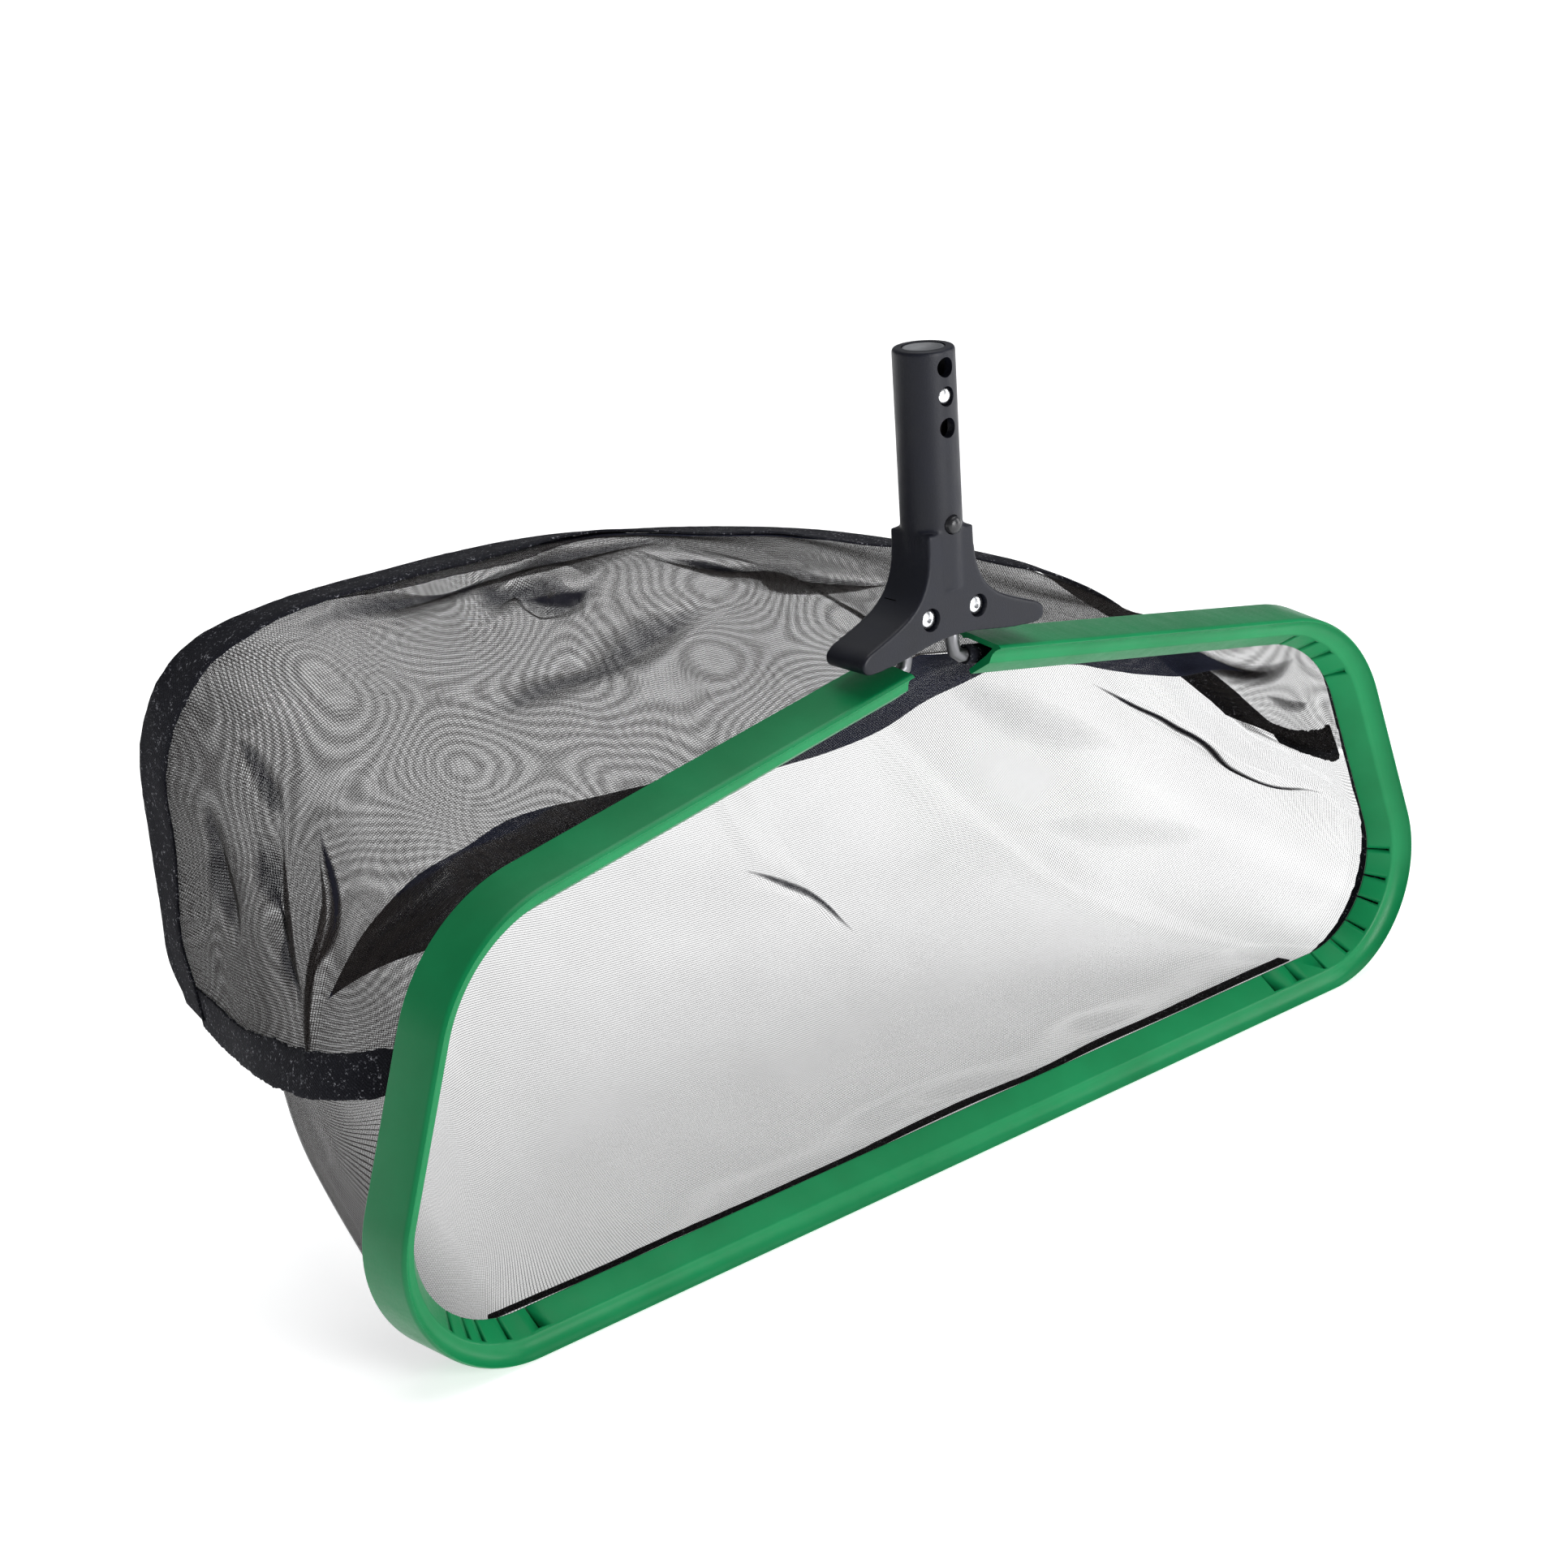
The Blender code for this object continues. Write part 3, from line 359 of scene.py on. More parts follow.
def refined(grid, factor):
    """A grid with factor times as many steps along its first axis (Catmull-Rom)."""
    padded = np.concatenate([2 * grid[:1] - grid[1:2], grid, 2 * grid[-1:] - grid[-2:-1]])
    t = (np.arange(factor) / factor).reshape(1, -1, *([1] * (grid.ndim - 1)))
    before, start, end, after = (part[:, None] for part in (padded[:-3], padded[1:-2],
                                                            padded[2:-1], padded[3:]))
    fine = 0.5 * (2 * start + (end - before) * t
                  + (2 * before - 5 * start + 4 * end - after) * t ** 2
                  + (3 * start - before - 3 * end + after) * t ** 3)
    return np.concatenate([fine.reshape(-1, *grid.shape[1:]), grid[-1:]])


def smooth_route(points, step=0.004):
    """A smooth curve through points, read off at even steps."""
    fine = [Vector(point) for point in refined(np.array(points), 12)]
    length = sum((b - a).length for a, b in zip(fine, fine[1:]))
    return even_points(fine, max(2, round(length / step)) + 1)


def even_points(points, count):
    """Points at equal distances along a chain of points."""
    reach = [0.0]
    for first, second in zip(points, points[1:]):
        reach.append(reach[-1] + (second - first).length)
    result = []
    piece = 0
    for index in range(count):
        wanted = reach[-1] * index / (count - 1)
        while piece < len(points) - 2 and reach[piece + 1] < wanted:
            piece += 1
        share = (wanted - reach[piece]) / max(reach[piece + 1] - reach[piece], 1e-9)
        result.append(points[piece].lerp(points[piece + 1], min(1.0, share)))
    return result


def mouth_stations(arc_step, straight_step):
    """(x, z, normal x, normal z) round the lip's outer line, clockwise from the peak."""
    corners = [(0.0, PEAK_Z, PEAK_RADIUS),
               (SHOULDER_HALF, SHOULDER_Z, UPPER_RADIUS),
               (BOTTOM_HALF, 0.0, LOWER_RADIUS),
               (-BOTTOM_HALF, 0.0, LOWER_RADIUS),
               (-SHOULDER_HALF, SHOULDER_Z, UPPER_RADIUS)]
    arcs = []
    for index, (x, z, radius) in enumerate(corners):
        corner = Vector((x, z))
        before = (Vector(corners[index - 1][:2]) - corner).normalized()
        after = (Vector(corners[(index + 1) % 5][:2]) - corner).normalized()
        half = before.angle(after) / 2
        centre = corner + (before + after).normalized() * (radius / math.sin(half))
        reach = radius / math.tan(half)
        start = corner + before * reach - centre
        turn = start.angle(corner + after * reach - centre)
        count = max(2, math.ceil(turn / arc_step))
        arc = []
        for part in range(count + 1):
            angle = math.atan2(start.y, start.x) - turn * part / count
            nx, nz = math.cos(angle), math.sin(angle)
            arc.append((centre.x + radius * nx, centre.y + radius * nz, nx, nz))
        arcs.append(arc)
    stations = []
    for arc, following in zip(arcs, arcs[1:] + arcs[:1]):
        x, z, nx, nz = arc[-1]
        run_x, run_z = following[0][0] - x, following[0][1] - z
        count = max(1, math.ceil(math.hypot(run_x, run_z) / straight_step))
        shares = {part / count for part in range(1, count)}
        if min(z, z + run_z) < SEAM_Z < max(z, z + run_z):
            shares.add((SEAM_Z - z) / run_z)
        stations += arc
        stations += [(x + run_x * share, z + run_z * share, nx, nz) for share in sorted(shares)]
    return stations


COARSE = mouth_stations(math.radians(11), 0.040)
FINE = mouth_stations(math.radians(3), 0.012)


def stations_between(line, gap_half):
    """The stations from x = +gap_half clockwise round to x = -gap_half."""
    peak = min(range(len(line)), key=lambda index: abs(line[index][0]) - line[index][1])
    ordered = line[peak:] + line[:peak]
    kept = [s for s in ordered if abs(s[0]) > gap_half + 0.004 or s[1] < SHOULDER_Z / 2]
    slope = (PEAK_Z - SHOULDER_Z) / SHOULDER_HALF
    edge_z = PEAK_Z - slope * gap_half
    return ([(gap_half, edge_z, kept[0][2], kept[0][3])] + kept
            + [(-gap_half, edge_z, kept[-1][2], kept[-1][3])])


def inset_point(station, inset, y):
    x, z, nx, nz = station
    return Vector((x - nx * inset, y, z - nz * inset))


def rounded(section, steps=4):
    """Corners of (inset, y, flare, radius) become arcs of steps + 1 points."""
    result = []
    for index, (inset, y, flare, radius) in enumerate(section):
        if not radius:
            result.append((inset, y, flare))
            continue
        corner = Vector((inset, y))
        before = Vector(section[index - 1][:2]) - corner
        after = Vector(section[(index + 1) % len(section)][:2]) - corner
        reach = min(radius, before.length * 0.45, after.length * 0.45)
        start = corner + before.normalized() * reach
        end = corner + after.normalized() * reach
        for step in range(steps + 1):
            t = step / steps
            spot = start * (1 - t) ** 2 + corner * 2 * t * (1 - t) + end * t ** 2
            result.append((spot.x, spot.y, flare))
    return result


def finished(name, bm, material, body="frame", sharp=35.0):
    bmesh.ops.recalc_face_normals(bm, faces=bm.faces)
    mesh = bpy.data.meshes.new(name)
    bm.to_mesh(mesh)
    bm.free()
    mesh.shade_smooth()
    mesh.set_sharp_from_angle(angle=math.radians(sharp))
    obj = bpy.data.objects.new(name, mesh)
    scene.collection.objects.link(obj)
    mesh.materials.append(material)
    if body:
        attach(obj, body)
    return obj


def loft(bm, rings):
    """A closed solid through a chain of rings with the same number of points."""
    rings = [[bm.verts.new(point) for point in ring] for ring in rings]
    for ring, following in zip(rings, rings[1:]):
        for index, corner in enumerate(ring):
            after = (index + 1) % len(ring)
            bm.faces.new((corner, ring[after], following[after], following[index]))
    bm.faces.new(rings[0])
    bm.faces.new(rings[-1])


def swept(name, stations, section, material, change=None):
    """Sweep a closed section of (inset, y, flare) along open stations, with end caps."""
    rings = []
    for place, station in enumerate(stations):
        ring = []
        for inset, y, flare in section:
            point = inset_point(station, inset, change(place, y) if change else y)
            point.x += station[2] * flare
            point.z += max(0.0, station[3]) * flare
            ring.append(point)
        rings.append(ring)
    bm = bmesh.new()
    loft(bm, rings)
    return finished(name, bm, material)


def applied(obj):
    """Put the result of an object's modifiers into its mesh."""
    bpy.context.view_layer.update()
    evaluated = obj.evaluated_get(bpy.context.evaluated_depsgraph_get())
    mesh = bpy.data.meshes.new_from_object(evaluated)
    obj.modifiers.clear()
    obj.data = mesh
    return obj


def carve(obj, name, fill):
    """Cut a shape, drawn into a bmesh by fill, out of an object."""
    bm = bmesh.new()
    fill(bm)
    cutter = finished(name, bm, obj.data.materials[0], body=None)
    cut = obj.modifiers.new(name, "BOOLEAN")
    cut.operation = "DIFFERENCE"
    cut.object = cutter
    cut.solver = "EXACT"
    applied(obj)
    bpy.data.objects.remove(cutter, do_unlink=True)


# ---- The bag's cloth ---------------------------------------------------------------


def seam_station(side):
    return min((s for s in COARSE if s[0] * side > 0), key=lambda s: abs(s[1] - SEAM_Z))


def bag_mouth(upper):
    left = COARSE.index(seam_station(-1))
    right = COARSE.index(seam_station(1))
    if upper:
        stations = COARSE[left:] + COARSE[:right + 1]
    else:
        stations = list(reversed(COARSE[right:left + 1]))

    def between(end, inner):
        share = SEAM_SETBACK / math.hypot(end[0] - inner[0], end[1] - inner[1])
        return tuple(a + (b - a) * share for a, b in zip(end, inner))
    return ([between(stations[0], stations[1])] + stations[1:-1]
            + [between(stations[-1], stations[-2])])


def bezier(p0, p1, p2, p3, t):
    return ((1 - t) ** 3 * p0 + 3 * (1 - t) ** 2 * t * p1
            + 3 * (1 - t) * t ** 2 * p2 + t ** 3 * p3)


def fill_out(grid):
    """Let a panel hang evenly between its borders, pushed out by an even load."""
    across = np.linspace(-1.0, 1.0, len(grid))[1:-1, None, None]
    load = FILL_LOAD * (1 + SAG_LOAD * np.exp(-((across - SAG_PLACE) / SAG_WIDTH) ** 2))
    for _ in range(FILL_PASSES):
        before = grid.copy()
        mean = (before[:-2, 1:-1] + before[2:, 1:-1]
                + before[1:-1, :-2] + before[1:-1, 2:]) / 4
        inwards = np.cross(before[2:, 1:-1] - before[:-2, 1:-1],
                           before[1:-1, 2:] - before[1:-1, :-2])
        grid[1:-1, 1:-1] = mean - inwards * load
    return grid


def panel_columns(upper):
    """The solid panel's own grid: columns of points from the hem to the seam."""
    mouth = bag_mouth(upper)
    count = len(mouth)
    seam = even_points(smooth_route(REAR_SEAM), count)
    front = [inset_point(station, HOOP_INSET, PANEL_FREE) for station in mouth]
    sides = []
    for start, seam_points, inwards in ((front[0], LEFT_SIDE_SEAM, 1),
                                        (front[-1], RIGHT_SIDE_SEAM, -1)):
        lift = (Vector((0.0, 0.0, SEAM_SETBACK)) if upper
                else Vector((inwards * 0.0021, 0.0, -SEAM_SETBACK)))
        route = smooth_route([start] + [point + lift for point in seam_points])
        sides.append(even_points(route, PANEL_ROWS))
    columns = []
    for index in range(count):
        across = 2 * index / (count - 1) - 1
        middle = 1 - abs(across) ** 4
        run = (seam[min(index + 1, count - 1)] - seam[max(index - 1, 0)]).normalized()
        inwards = Vector((run.z, 0.0, -run.x)).normalized()
        forwards = Vector((0.0, -1.0, 0.0))
        forwards = (forwards - run * forwards.dot(run)).normalized()
        start = front[index]
        end = seam[index] + (forwards * SEAM_SETBACK if upper else inwards * BELLY_SETBACK)
        if upper:
            sunk = max(0.0, across)
            fullness = middle * (1 - min(1.0, sunk * 1.8))
            leave = start + Vector((ROOF_SPREAD * across ** 3, ROOF_LEAVE,
                                    ROOF_LIFT * fullness - ROOF_SINK * sunk))
            arrive = end + Vector((0.0, -ROOF_ARRIVE * (1 - 0.4 * sunk),
                                   ROOF_END_LIFT * fullness - ROOF_END_SINK * sunk))
        else:
            corner = max(0.0, abs(across) - CUSHION_START) / (1 - CUSHION_START)
            corner *= corner * (3 - 2 * corner)
            leave = start + BELLY_LEAVE.lerp(SIDE_LEAVE, corner)
            belly = inwards * BELLY_INWARDS + Vector((0.0, BELLY_BACK, 0.0))
            side = Vector((0.0, -SIDE_ARRIVE * (1.0 if across < 0 else 0.4), 0.0))
            arrive = end + belly.lerp(side, corner)
        columns.append([bezier(start, leave, arrive, end, row / (PANEL_ROWS - 1))
                        for row in range(PANEL_ROWS)])
    reach = int(count * 0.24)
    for edge, direction, target in ((0, 1, sides[0]), (count - 1, -1, sides[1])):
        shift = [goal - point for goal, point in zip(target, columns[edge])]
        for step in range(reach):
            weight = (1 - step / reach) ** 1.7
            column = columns[edge + direction * step]
            for row, move in enumerate(shift):
                column[row] = column[row] + move * weight
    grid = np.array(columns)
    if not upper:
        grid = fill_out(grid)
    hem = np.array([[inset_point(station, HOOP_INSET, PANEL_FRONT)] for station in mouth])
    return np.concatenate([hem, grid], axis=1)


def reach_along(grid, axis=0):
    """How far each point of a line or grid lies from its start, along an axis."""
    steps = np.linalg.norm(np.diff(grid, axis=axis), axis=-1)
    return np.insert(np.cumsum(steps, axis=axis), 0, 0.0, axis=axis)


def read_off(line, normal, wanted, lift):
    """Points of a line at the wanted distances along it, lifted along its normals."""
    reach = reach_along(line)
    return [[np.interp(w, reach, line[:, k]) + lift * np.interp(w, reach, normal[:, k])
             for k in range(3)] for w in wanted]


def waver(*place):
    """A smooth unevenness between about -0.5 and 0.5."""
    return noise.noise(Vector(place))


def grid_normals(grid):
    sideways = np.gradient(grid, axis=0)
    backwards = np.gradient(grid, axis=1)
    normal = np.cross(sideways, backwards)
    return normal / np.maximum(np.linalg.norm(normal, axis=2, keepdims=True), 1e-12)


def distance_to(grid, route):
    """Distance of every grid point from a route, and how far along it the foot lies."""
    best = np.full(grid.shape[:2], 1e9)
    share = np.zeros(grid.shape[:2])
    steps = len(route) - 1
    for index, (start, end) in enumerate(zip(route, route[1:])):
        a, b = np.array(start), np.array(end)
        run = b - a
        t = np.clip(((grid - a) @ run) / (run @ run), 0.0, 1.0)
        gap = np.linalg.norm(grid - (a + t[..., None] * run), axis=2)
        closer = gap < best
        best = np.where(closer, gap, best)
        share = np.where(closer, (index + t) / steps, share)
    return best, share


def edge_fade(grid, reach):
    """0 on the panel's borders and 1 further in than reach."""
    left, front = reach_along(grid, 0), reach_along(grid, 1)
    nearest = np.minimum.reduce([left, left[-1:] - left, front, front[:, -1:] - front])
    share = np.clip(nearest / reach, 0.0, 1.0)
    return share * share * (3 - 2 * share)


def folded(grid, folds, ripple, seed):
    """Move a panel's points along their normals: named folds and a soft unevenness."""
    normals = grid_normals(grid)
    height = np.zeros(grid.shape[:2])
    for route, width, depth in folds:
        gap, share = distance_to(grid, smooth_route(route, 0.006))
        taper = np.sin(np.pi * np.clip(share, 0.02, 0.98)) ** 0.6
        height += depth * taper * np.exp(-(gap / width) ** 2)
    flat = grid.reshape(-1, 3) / RIPPLE_SIZE
    soft = np.array([waver(x + seed, y, z) for x, y, z in flat])
    height += ripple * soft.reshape(grid.shape[:2])
    return grid + normals * (height * edge_fade(grid, FOLDS_FADE))[..., None]


def cloth_flat(grid):
    """The cloth's own coordinates in metres: across and along, as if cut flat."""
    across, along = reach_along(grid, 0), reach_along(grid, 1)
    across[:] = across.mean(axis=1, keepdims=True)
    return np.stack([across, along], axis=2)


def cloth_object(name, grid, material, thickness, flat=None):
    """A closed thin sheet through a grid of points, with its flat coordinates as UVs."""
    columns, rows = grid.shape[:2]
    index = np.arange(columns * rows).reshape(columns, rows)
    corners = [index[:-1, :-1], index[1:, :-1], index[1:, 1:], index[:-1, 1:]]
    faces = np.stack([c.ravel() for c in corners], axis=1)
    mesh = bpy.data.meshes.new(name)
    mesh.from_pydata(grid.reshape(-1, 3).tolist(), [], faces.tolist())
    flat = cloth_flat(grid) if flat is None else flat
    layer = mesh.uv_layers.new(name="cloth")
    loops = np.zeros(len(mesh.loops), np.int32)
    mesh.loops.foreach_get("vertex_index", loops)
    layer.data.foreach_set("uv", flat.reshape(-1, 2)[loops].astype(np.float32).ravel())
    mesh.shade_smooth()
    obj = bpy.data.objects.new(name, mesh)
    scene.collection.objects.link(obj)
    mesh.materials.append(material)
    solidify = obj.modifiers.new("cloth", "SOLIDIFY")
    solidify.thickness = thickness
    solidify.offset = 0.0
    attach(obj, "frame")
    return obj


RIBBON_RISE = 0.0010
FINER_ACROSS, FINER_ALONG = 8, 12
SLIDE, SLIDE_REACH = 0.015, 0.023
RIPPLE_SIZE, FOLDS_FADE = 0.060, 0.018

# Folds as (route, half width, height along the panel's own normal).
TOP_FOLDS = [
    (mm([(-246, 80, 190), (-254, 64, 169), (-265, 62, 147), (-272, 60, 128), (-274, 58, 116)]),
     0.0021, 0.0075),
    (mm([(-252, 108, 196), (-258, 104, 167), (-264, 92, 146), (-269, 74, 133)]), 0.0052, -0.0075),
    (mm([(-249, 126, 219), (-250, 115, 207), (-249, 105, 202)]), 0.0050, -0.0050),
    (mm([(-256, 146, 185), (-257, 146, 170), (-261, 132, 141)]), 0.0050, -0.0045),
    (mm([(-150, 110, 245), (-114, 128, 254), (-115, 108, 249), (-92, 108, 249)]), 0.0060, -0.0080),
    (mm([(-45, 128, 250), (-27, 100, 246), (0, 90, 238), (55, 92, 223)]), 0.0045, -0.0085),
    (mm([(-175, 66, 222), (-142, 75, 229), (-105, 75, 233), (-64, 78, 238), (-37, 80, 240)]),
     0.0070, -0.0060),
    (mm([(-200, 130, 248), (-150, 140, 256), (-90, 150, 257), (-30, 150, 250)]), 0.0080, -0.0075),
]
BOTTOM_FOLDS = [
    (mm([(30, 166, 74), (50, 154, 62), (56, 146, 53), (62, 136, 43)]), 0.0017, 0.0055),
    (mm([(215, 112, 124), (225, 106, 117), (234, 94, 108), (243, 81, 99), (252, 66, 87),
         (264, 48, 80), (272, 32, 77)]), 0.0019, 0.0062),
]


# Where a fold lies over itself: a tapering ribbon of doubled cloth with painted fold shade, as
# (route, width, how dark). The soft ones are wide and faint painted shade, with a darker one
# inside.
TOP_DOUBLED_AND_SHADE_RIBBONS = [
    (mm([(-244, 84, 196), (-254, 64, 169), (-265, 62, 147), (-272, 60, 128), (-274, 58, 114)]),
     0.0060, 1.25),
    (mm([(-256, 112, 190), (-258, 104, 167), (-264, 92, 146), (-269, 72, 134)]), 0.0200, 0.44),
    (mm([(-258, 106, 172), (-262, 96, 152), (-267, 80, 138)]), 0.0090, 0.64),
    (mm([(-250, 128, 224), (-250, 115, 207), (-249, 103, 199)]), 0.0170, 0.46),
    (mm([(-254, 148, 195), (-257, 146, 170), (-261, 132, 141)]), 0.0200, 0.34),
    (mm([(-140, 120, 250), (-114, 126, 254), (-104, 108, 249), (-85, 112, 249)]), 0.0247, 0.50),
    (mm([(-116, 118, 252), (-104, 108, 249), (-90, 110, 249)]), 0.0090, 0.80),
    (mm([(-48, 132, 251), (-27, 98, 246), (4, 88, 238), (60, 90, 222)]), 0.0209, 0.52),
    (mm([(-40, 122, 250), (-20, 94, 244), (12, 87, 236)]), 0.0075, 0.80),
    (mm([(-170, 70, 225), (-142, 75, 229), (-105, 75, 233), (-50, 80, 240)]), 0.0266, 0.39),
    (mm([(-215, 135, 247), (-150, 140, 256), (-90, 150, 257), (-10, 150, 247)]), 0.0380, 0.53),
    (mm([(205, 90, 160), (232, 78, 146), (245, 62, 137), (251, 46, 138), (248, 26, 151)]),
     0.0165, 0.64),
    (mm([(222, 84, 152), (240, 70, 140), (249, 52, 137), (250, 40, 141)]), 0.0090, 0.88),
    (mm([(256, 50, 126), (263, 38, 122), (262, 28, 127)]), 0.0095, 0.53),
]
BOTTOM_DOUBLED_AND_SHADE_RIBBONS = [
    (mm([(26, 168, 76), (50, 154, 62), (56, 146, 53), (63, 136, 42)]), 0.0045, 0.72),
    (mm([(207, 118, 130), (225, 106, 117), (234, 94, 108), (243, 81, 99), (252, 66, 87),
         (264, 48, 80), (273, 30, 77)]), 0.0037, 1.25),
    # These last two are only painted soft shade on the floor panel, wide and faint.
    (mm([(150, 160, 140), (178, 138, 118), (215, 108, 98)]), 0.0256, 0.09),
    (mm([(170, 120, 70), (205, 95, 62), (240, 70, 55)]), 0.0192, 0.06),
]


def make_doubled_and_shade_ribbons(name, grid, doubled_and_shade_ribbons):
    """Ribbons of doubled net and painted fold shade lying along folds of a panel, each its own
    piece.
    """
    normals = grid_normals(grid).reshape(-1, 3)
    points = grid.reshape(-1, 3)
    for place, (route, width, dark) in enumerate(doubled_and_shade_ribbons):
        line = np.array(smooth_route(route, 0.0025))
        nearest = [np.argmin(((points - spot) ** 2).sum(axis=1)) for spot in line]
        facing = normals[nearest]
        line = line - facing * ((line - points[nearest]) * facing).sum(axis=1)[:, None]
        for _ in range(12):
            line[1:-1] = (line[:-2] + 2 * line[1:-1] + line[2:]) / 4
            facing[1:-1] = (facing[:-2] + 2 * facing[1:-1] + facing[2:]) / 4
        runs = np.gradient(line, axis=0)
        strip = []
        for index, (spot, normal, run) in enumerate(zip(line, facing, runs)):
            normal = normal / np.linalg.norm(normal)
            side = np.cross(run, normal)
            side /= np.linalg.norm(side)
            share = index / (len(line) - 1)
            wide = width * max(0.03, math.sin(math.pi * share)) ** 0.8
            wide *= 1 + 0.20 * waver(index * 0.12, place * 7.0, 1.0)
            strip.append([spot + side * wide * (step / 4 - 0.5)
                          + normal * RIBBON_RISE * math.sin(math.pi * step / 4)
                          for step in range(5)])
        flat = np.stack(np.meshgrid(np.linspace(0, 1, len(strip)), np.linspace(0, 1, 5),
                                    indexing="ij"), axis=2)
        obj = cloth_object(f"{name}_{place + 1}", np.array(strip),
                           doubled_net_and_fold_shade_material(f"fold_{name}_{place + 1}", dark), 0.0004, flat)
        yield obj


def to_the_seams(grid, upper):
    """Carry a refined panel on to the seam lines themselves, under the tapes."""
    mouth = bag_mouth(upper)
    for station, seam_points, at_start in ((mouth[0], LEFT_SIDE_SEAM, True),
                                           (mouth[-1], RIGHT_SIDE_SEAM, False)):
        start = inset_point(station, HOOP_INSET, PANEL_FREE)
        route = even_points(smooth_route([start] + seam_points), PANEL_ROWS)
        column = [inset_point(station, HOOP_INSET, PANEL_FRONT)] + route
        column = refined(np.array(column), FINER_ALONG)[None]
        grid = np.concatenate([column, grid] if at_start else [grid, column])
    seam = even_points(smooth_route(REAR_SEAM), len(grid))
    return np.concatenate([grid, np.array(seam)[:, None]], axis=1)


def slid_down_the_bar(grid):
    """Let the cloth by the right bar slide down it, as the sewn bag hangs there."""
    start = np.array(inset_point(seam_station(1), HOOP_INSET, PANEL_FREE))
    run = np.array([BOTTOM_HALF - SHOULDER_HALF, 0.0, -SHOULDER_Z])
    run /= np.linalg.norm(run)
    near = np.exp(-(np.linalg.norm(grid - start, axis=2) / SLIDE_REACH) ** 2)
    return grid + run * (SLIDE * near)[..., None]


def make_bag():
    nets = {True: mesh_material("net_roof", 0.06, 0.86, 235.0, rings=0.10),
            False: mesh_material("net_floor", 0.0, 0.86, 95.0, (0.89, 0.98))}
    panels = []
    for upper, folds, ripple, seed in ((True, TOP_FOLDS, 0.0028, 3.0),
                                       (False, BOTTOM_FOLDS, 0.0026, 11.0)):
        grid = refined(panel_columns(upper), FINER_ACROSS).transpose(1, 0, 2)
        grid = refined(grid, FINER_ALONG).transpose(1, 0, 2)
        grid = slid_down_the_bar(to_the_seams(grid, upper))
        grid = folded(grid, folds, ripple, seed)
        name, node = (("net_top", "bag_top_panel") if upper
                      else ("net_bottom", "bag_bottom_panel"))
        obj = cloth_object(name, grid, nets[upper], 0.0006)
        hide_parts(node)
        panels.append((grid, obj))
    (top, roof), (bottom, floor) = panels
    return (top, bottom, roof, floor, list(make_doubled_and_shade_ribbons("roof_fold_shade", top, TOP_DOUBLED_AND_SHADE_RIBBONS)),
            list(make_doubled_and_shade_ribbons("floor_fold_shade", bottom, BOTTOM_DOUBLED_AND_SHADE_RIBBONS)))


# The first rows of a finer panel lie in the hem sleeve; the side tapes start after them.
TAPE_FROM = FINER_ALONG + 2
TAPE_OVERLAP = 0.008


def tape_grid(grid, edge, width_in, width_out, steps=6, lift=0.0012):
    """A strip laid on one border of a panel and past it. edge: left, right or rear."""
    normals = grid_normals(grid)
    if edge == "rear":
        lines, perpendicular = grid[:, ::-1], normals[:, ::-1]
    elif edge == "left":
        lines, perpendicular = grid.transpose(1, 0, 2), normals.transpose(1, 0, 2)
    else:
        lines, perpendicular = grid[::-1].transpose(1, 0, 2), normals[::-1].transpose(1, 0, 2)
    strip = []
    for place, (line, normal) in enumerate(zip(lines, perpendicular)):
        wave = (0.0014 * waver(place * 0.11, width_in * 900.0, 0.0)
                + 0.0011 * waver(place * 0.83, width_in * 900.0, 5.0))
        column = read_off(line, normal, np.linspace(width_in + wave, 0.0, steps), lift)
        outward = line[0] - line[2]
        outward /= np.linalg.norm(outward)
        last = np.array(column[-1])
        past = width_out + 0.7 * wave
        if edge == "rear":
            past += 0.0055 * min(1.0, max(0.0, (last[0] - 0.140) / 0.060))
        column += [list(last + outward * past * share) for share in (0.5, 1.0)]
        strip.append(column)
    return np.array(strip)


def make_seam_allowance(top):
    """The roof's turned-in edge, a loose double layer of net along the rear seam."""
    rows = [i for i, column in enumerate(top) if -0.225 < column[-1][0] < 0.150]
    grid = top[rows[0]:rows[-1] + 1]
    strip = tape_grid(grid, "rear", 0.030, 0.001, steps=9, lift=0.0008)
    for place, column in enumerate(strip):
        share = place / (len(strip) - 1)
        wide = math.sin(math.pi * share) ** 0.5
        wide *= 0.72 + 0.55 * waver(place * 0.045, 0.0, 21.0)
        column[:-2] = column[-3] + (column[:-2] - column[-3]) * max(0.06, wide)
    turned_net = mesh_material("net_turned", 0.30, 0.95, 500.0, tone=HEM_TONE)
    obj = cloth_object("seam_allowance", strip, turned_net, 0.0006)
    return obj


def make_tapes(top):
    """The binding over the seams; the side tapes stop short, under the rear one."""
    tape = tape_material("tape_black")
    sides = top[:, TAPE_FROM:]
    made = []
    for edge, grid, width, lift in (("left", sides, BINDING_ON_SIDE, 0.0012),
                                    ("right", sides, BINDING_ON_SIDE, 0.0012),
                                    ("rear", top, BINDING_ON_ROOF, 0.0021)):
        strip = tape_grid(grid, edge, width, BINDING_PAST_SEAM, lift=lift)
        if edge != "rear":
            reach = reach_along(grid[0 if edge == "left" else -1])
            strip = strip[reach[-1] - reach > BINDING_ON_ROOF - TAPE_OVERLAP]
        obj = cloth_object(f"tape_{edge}", strip, tape, 0.0010)
        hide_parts(f"seam_binding_{edge}")
        made.append(obj)
    return made


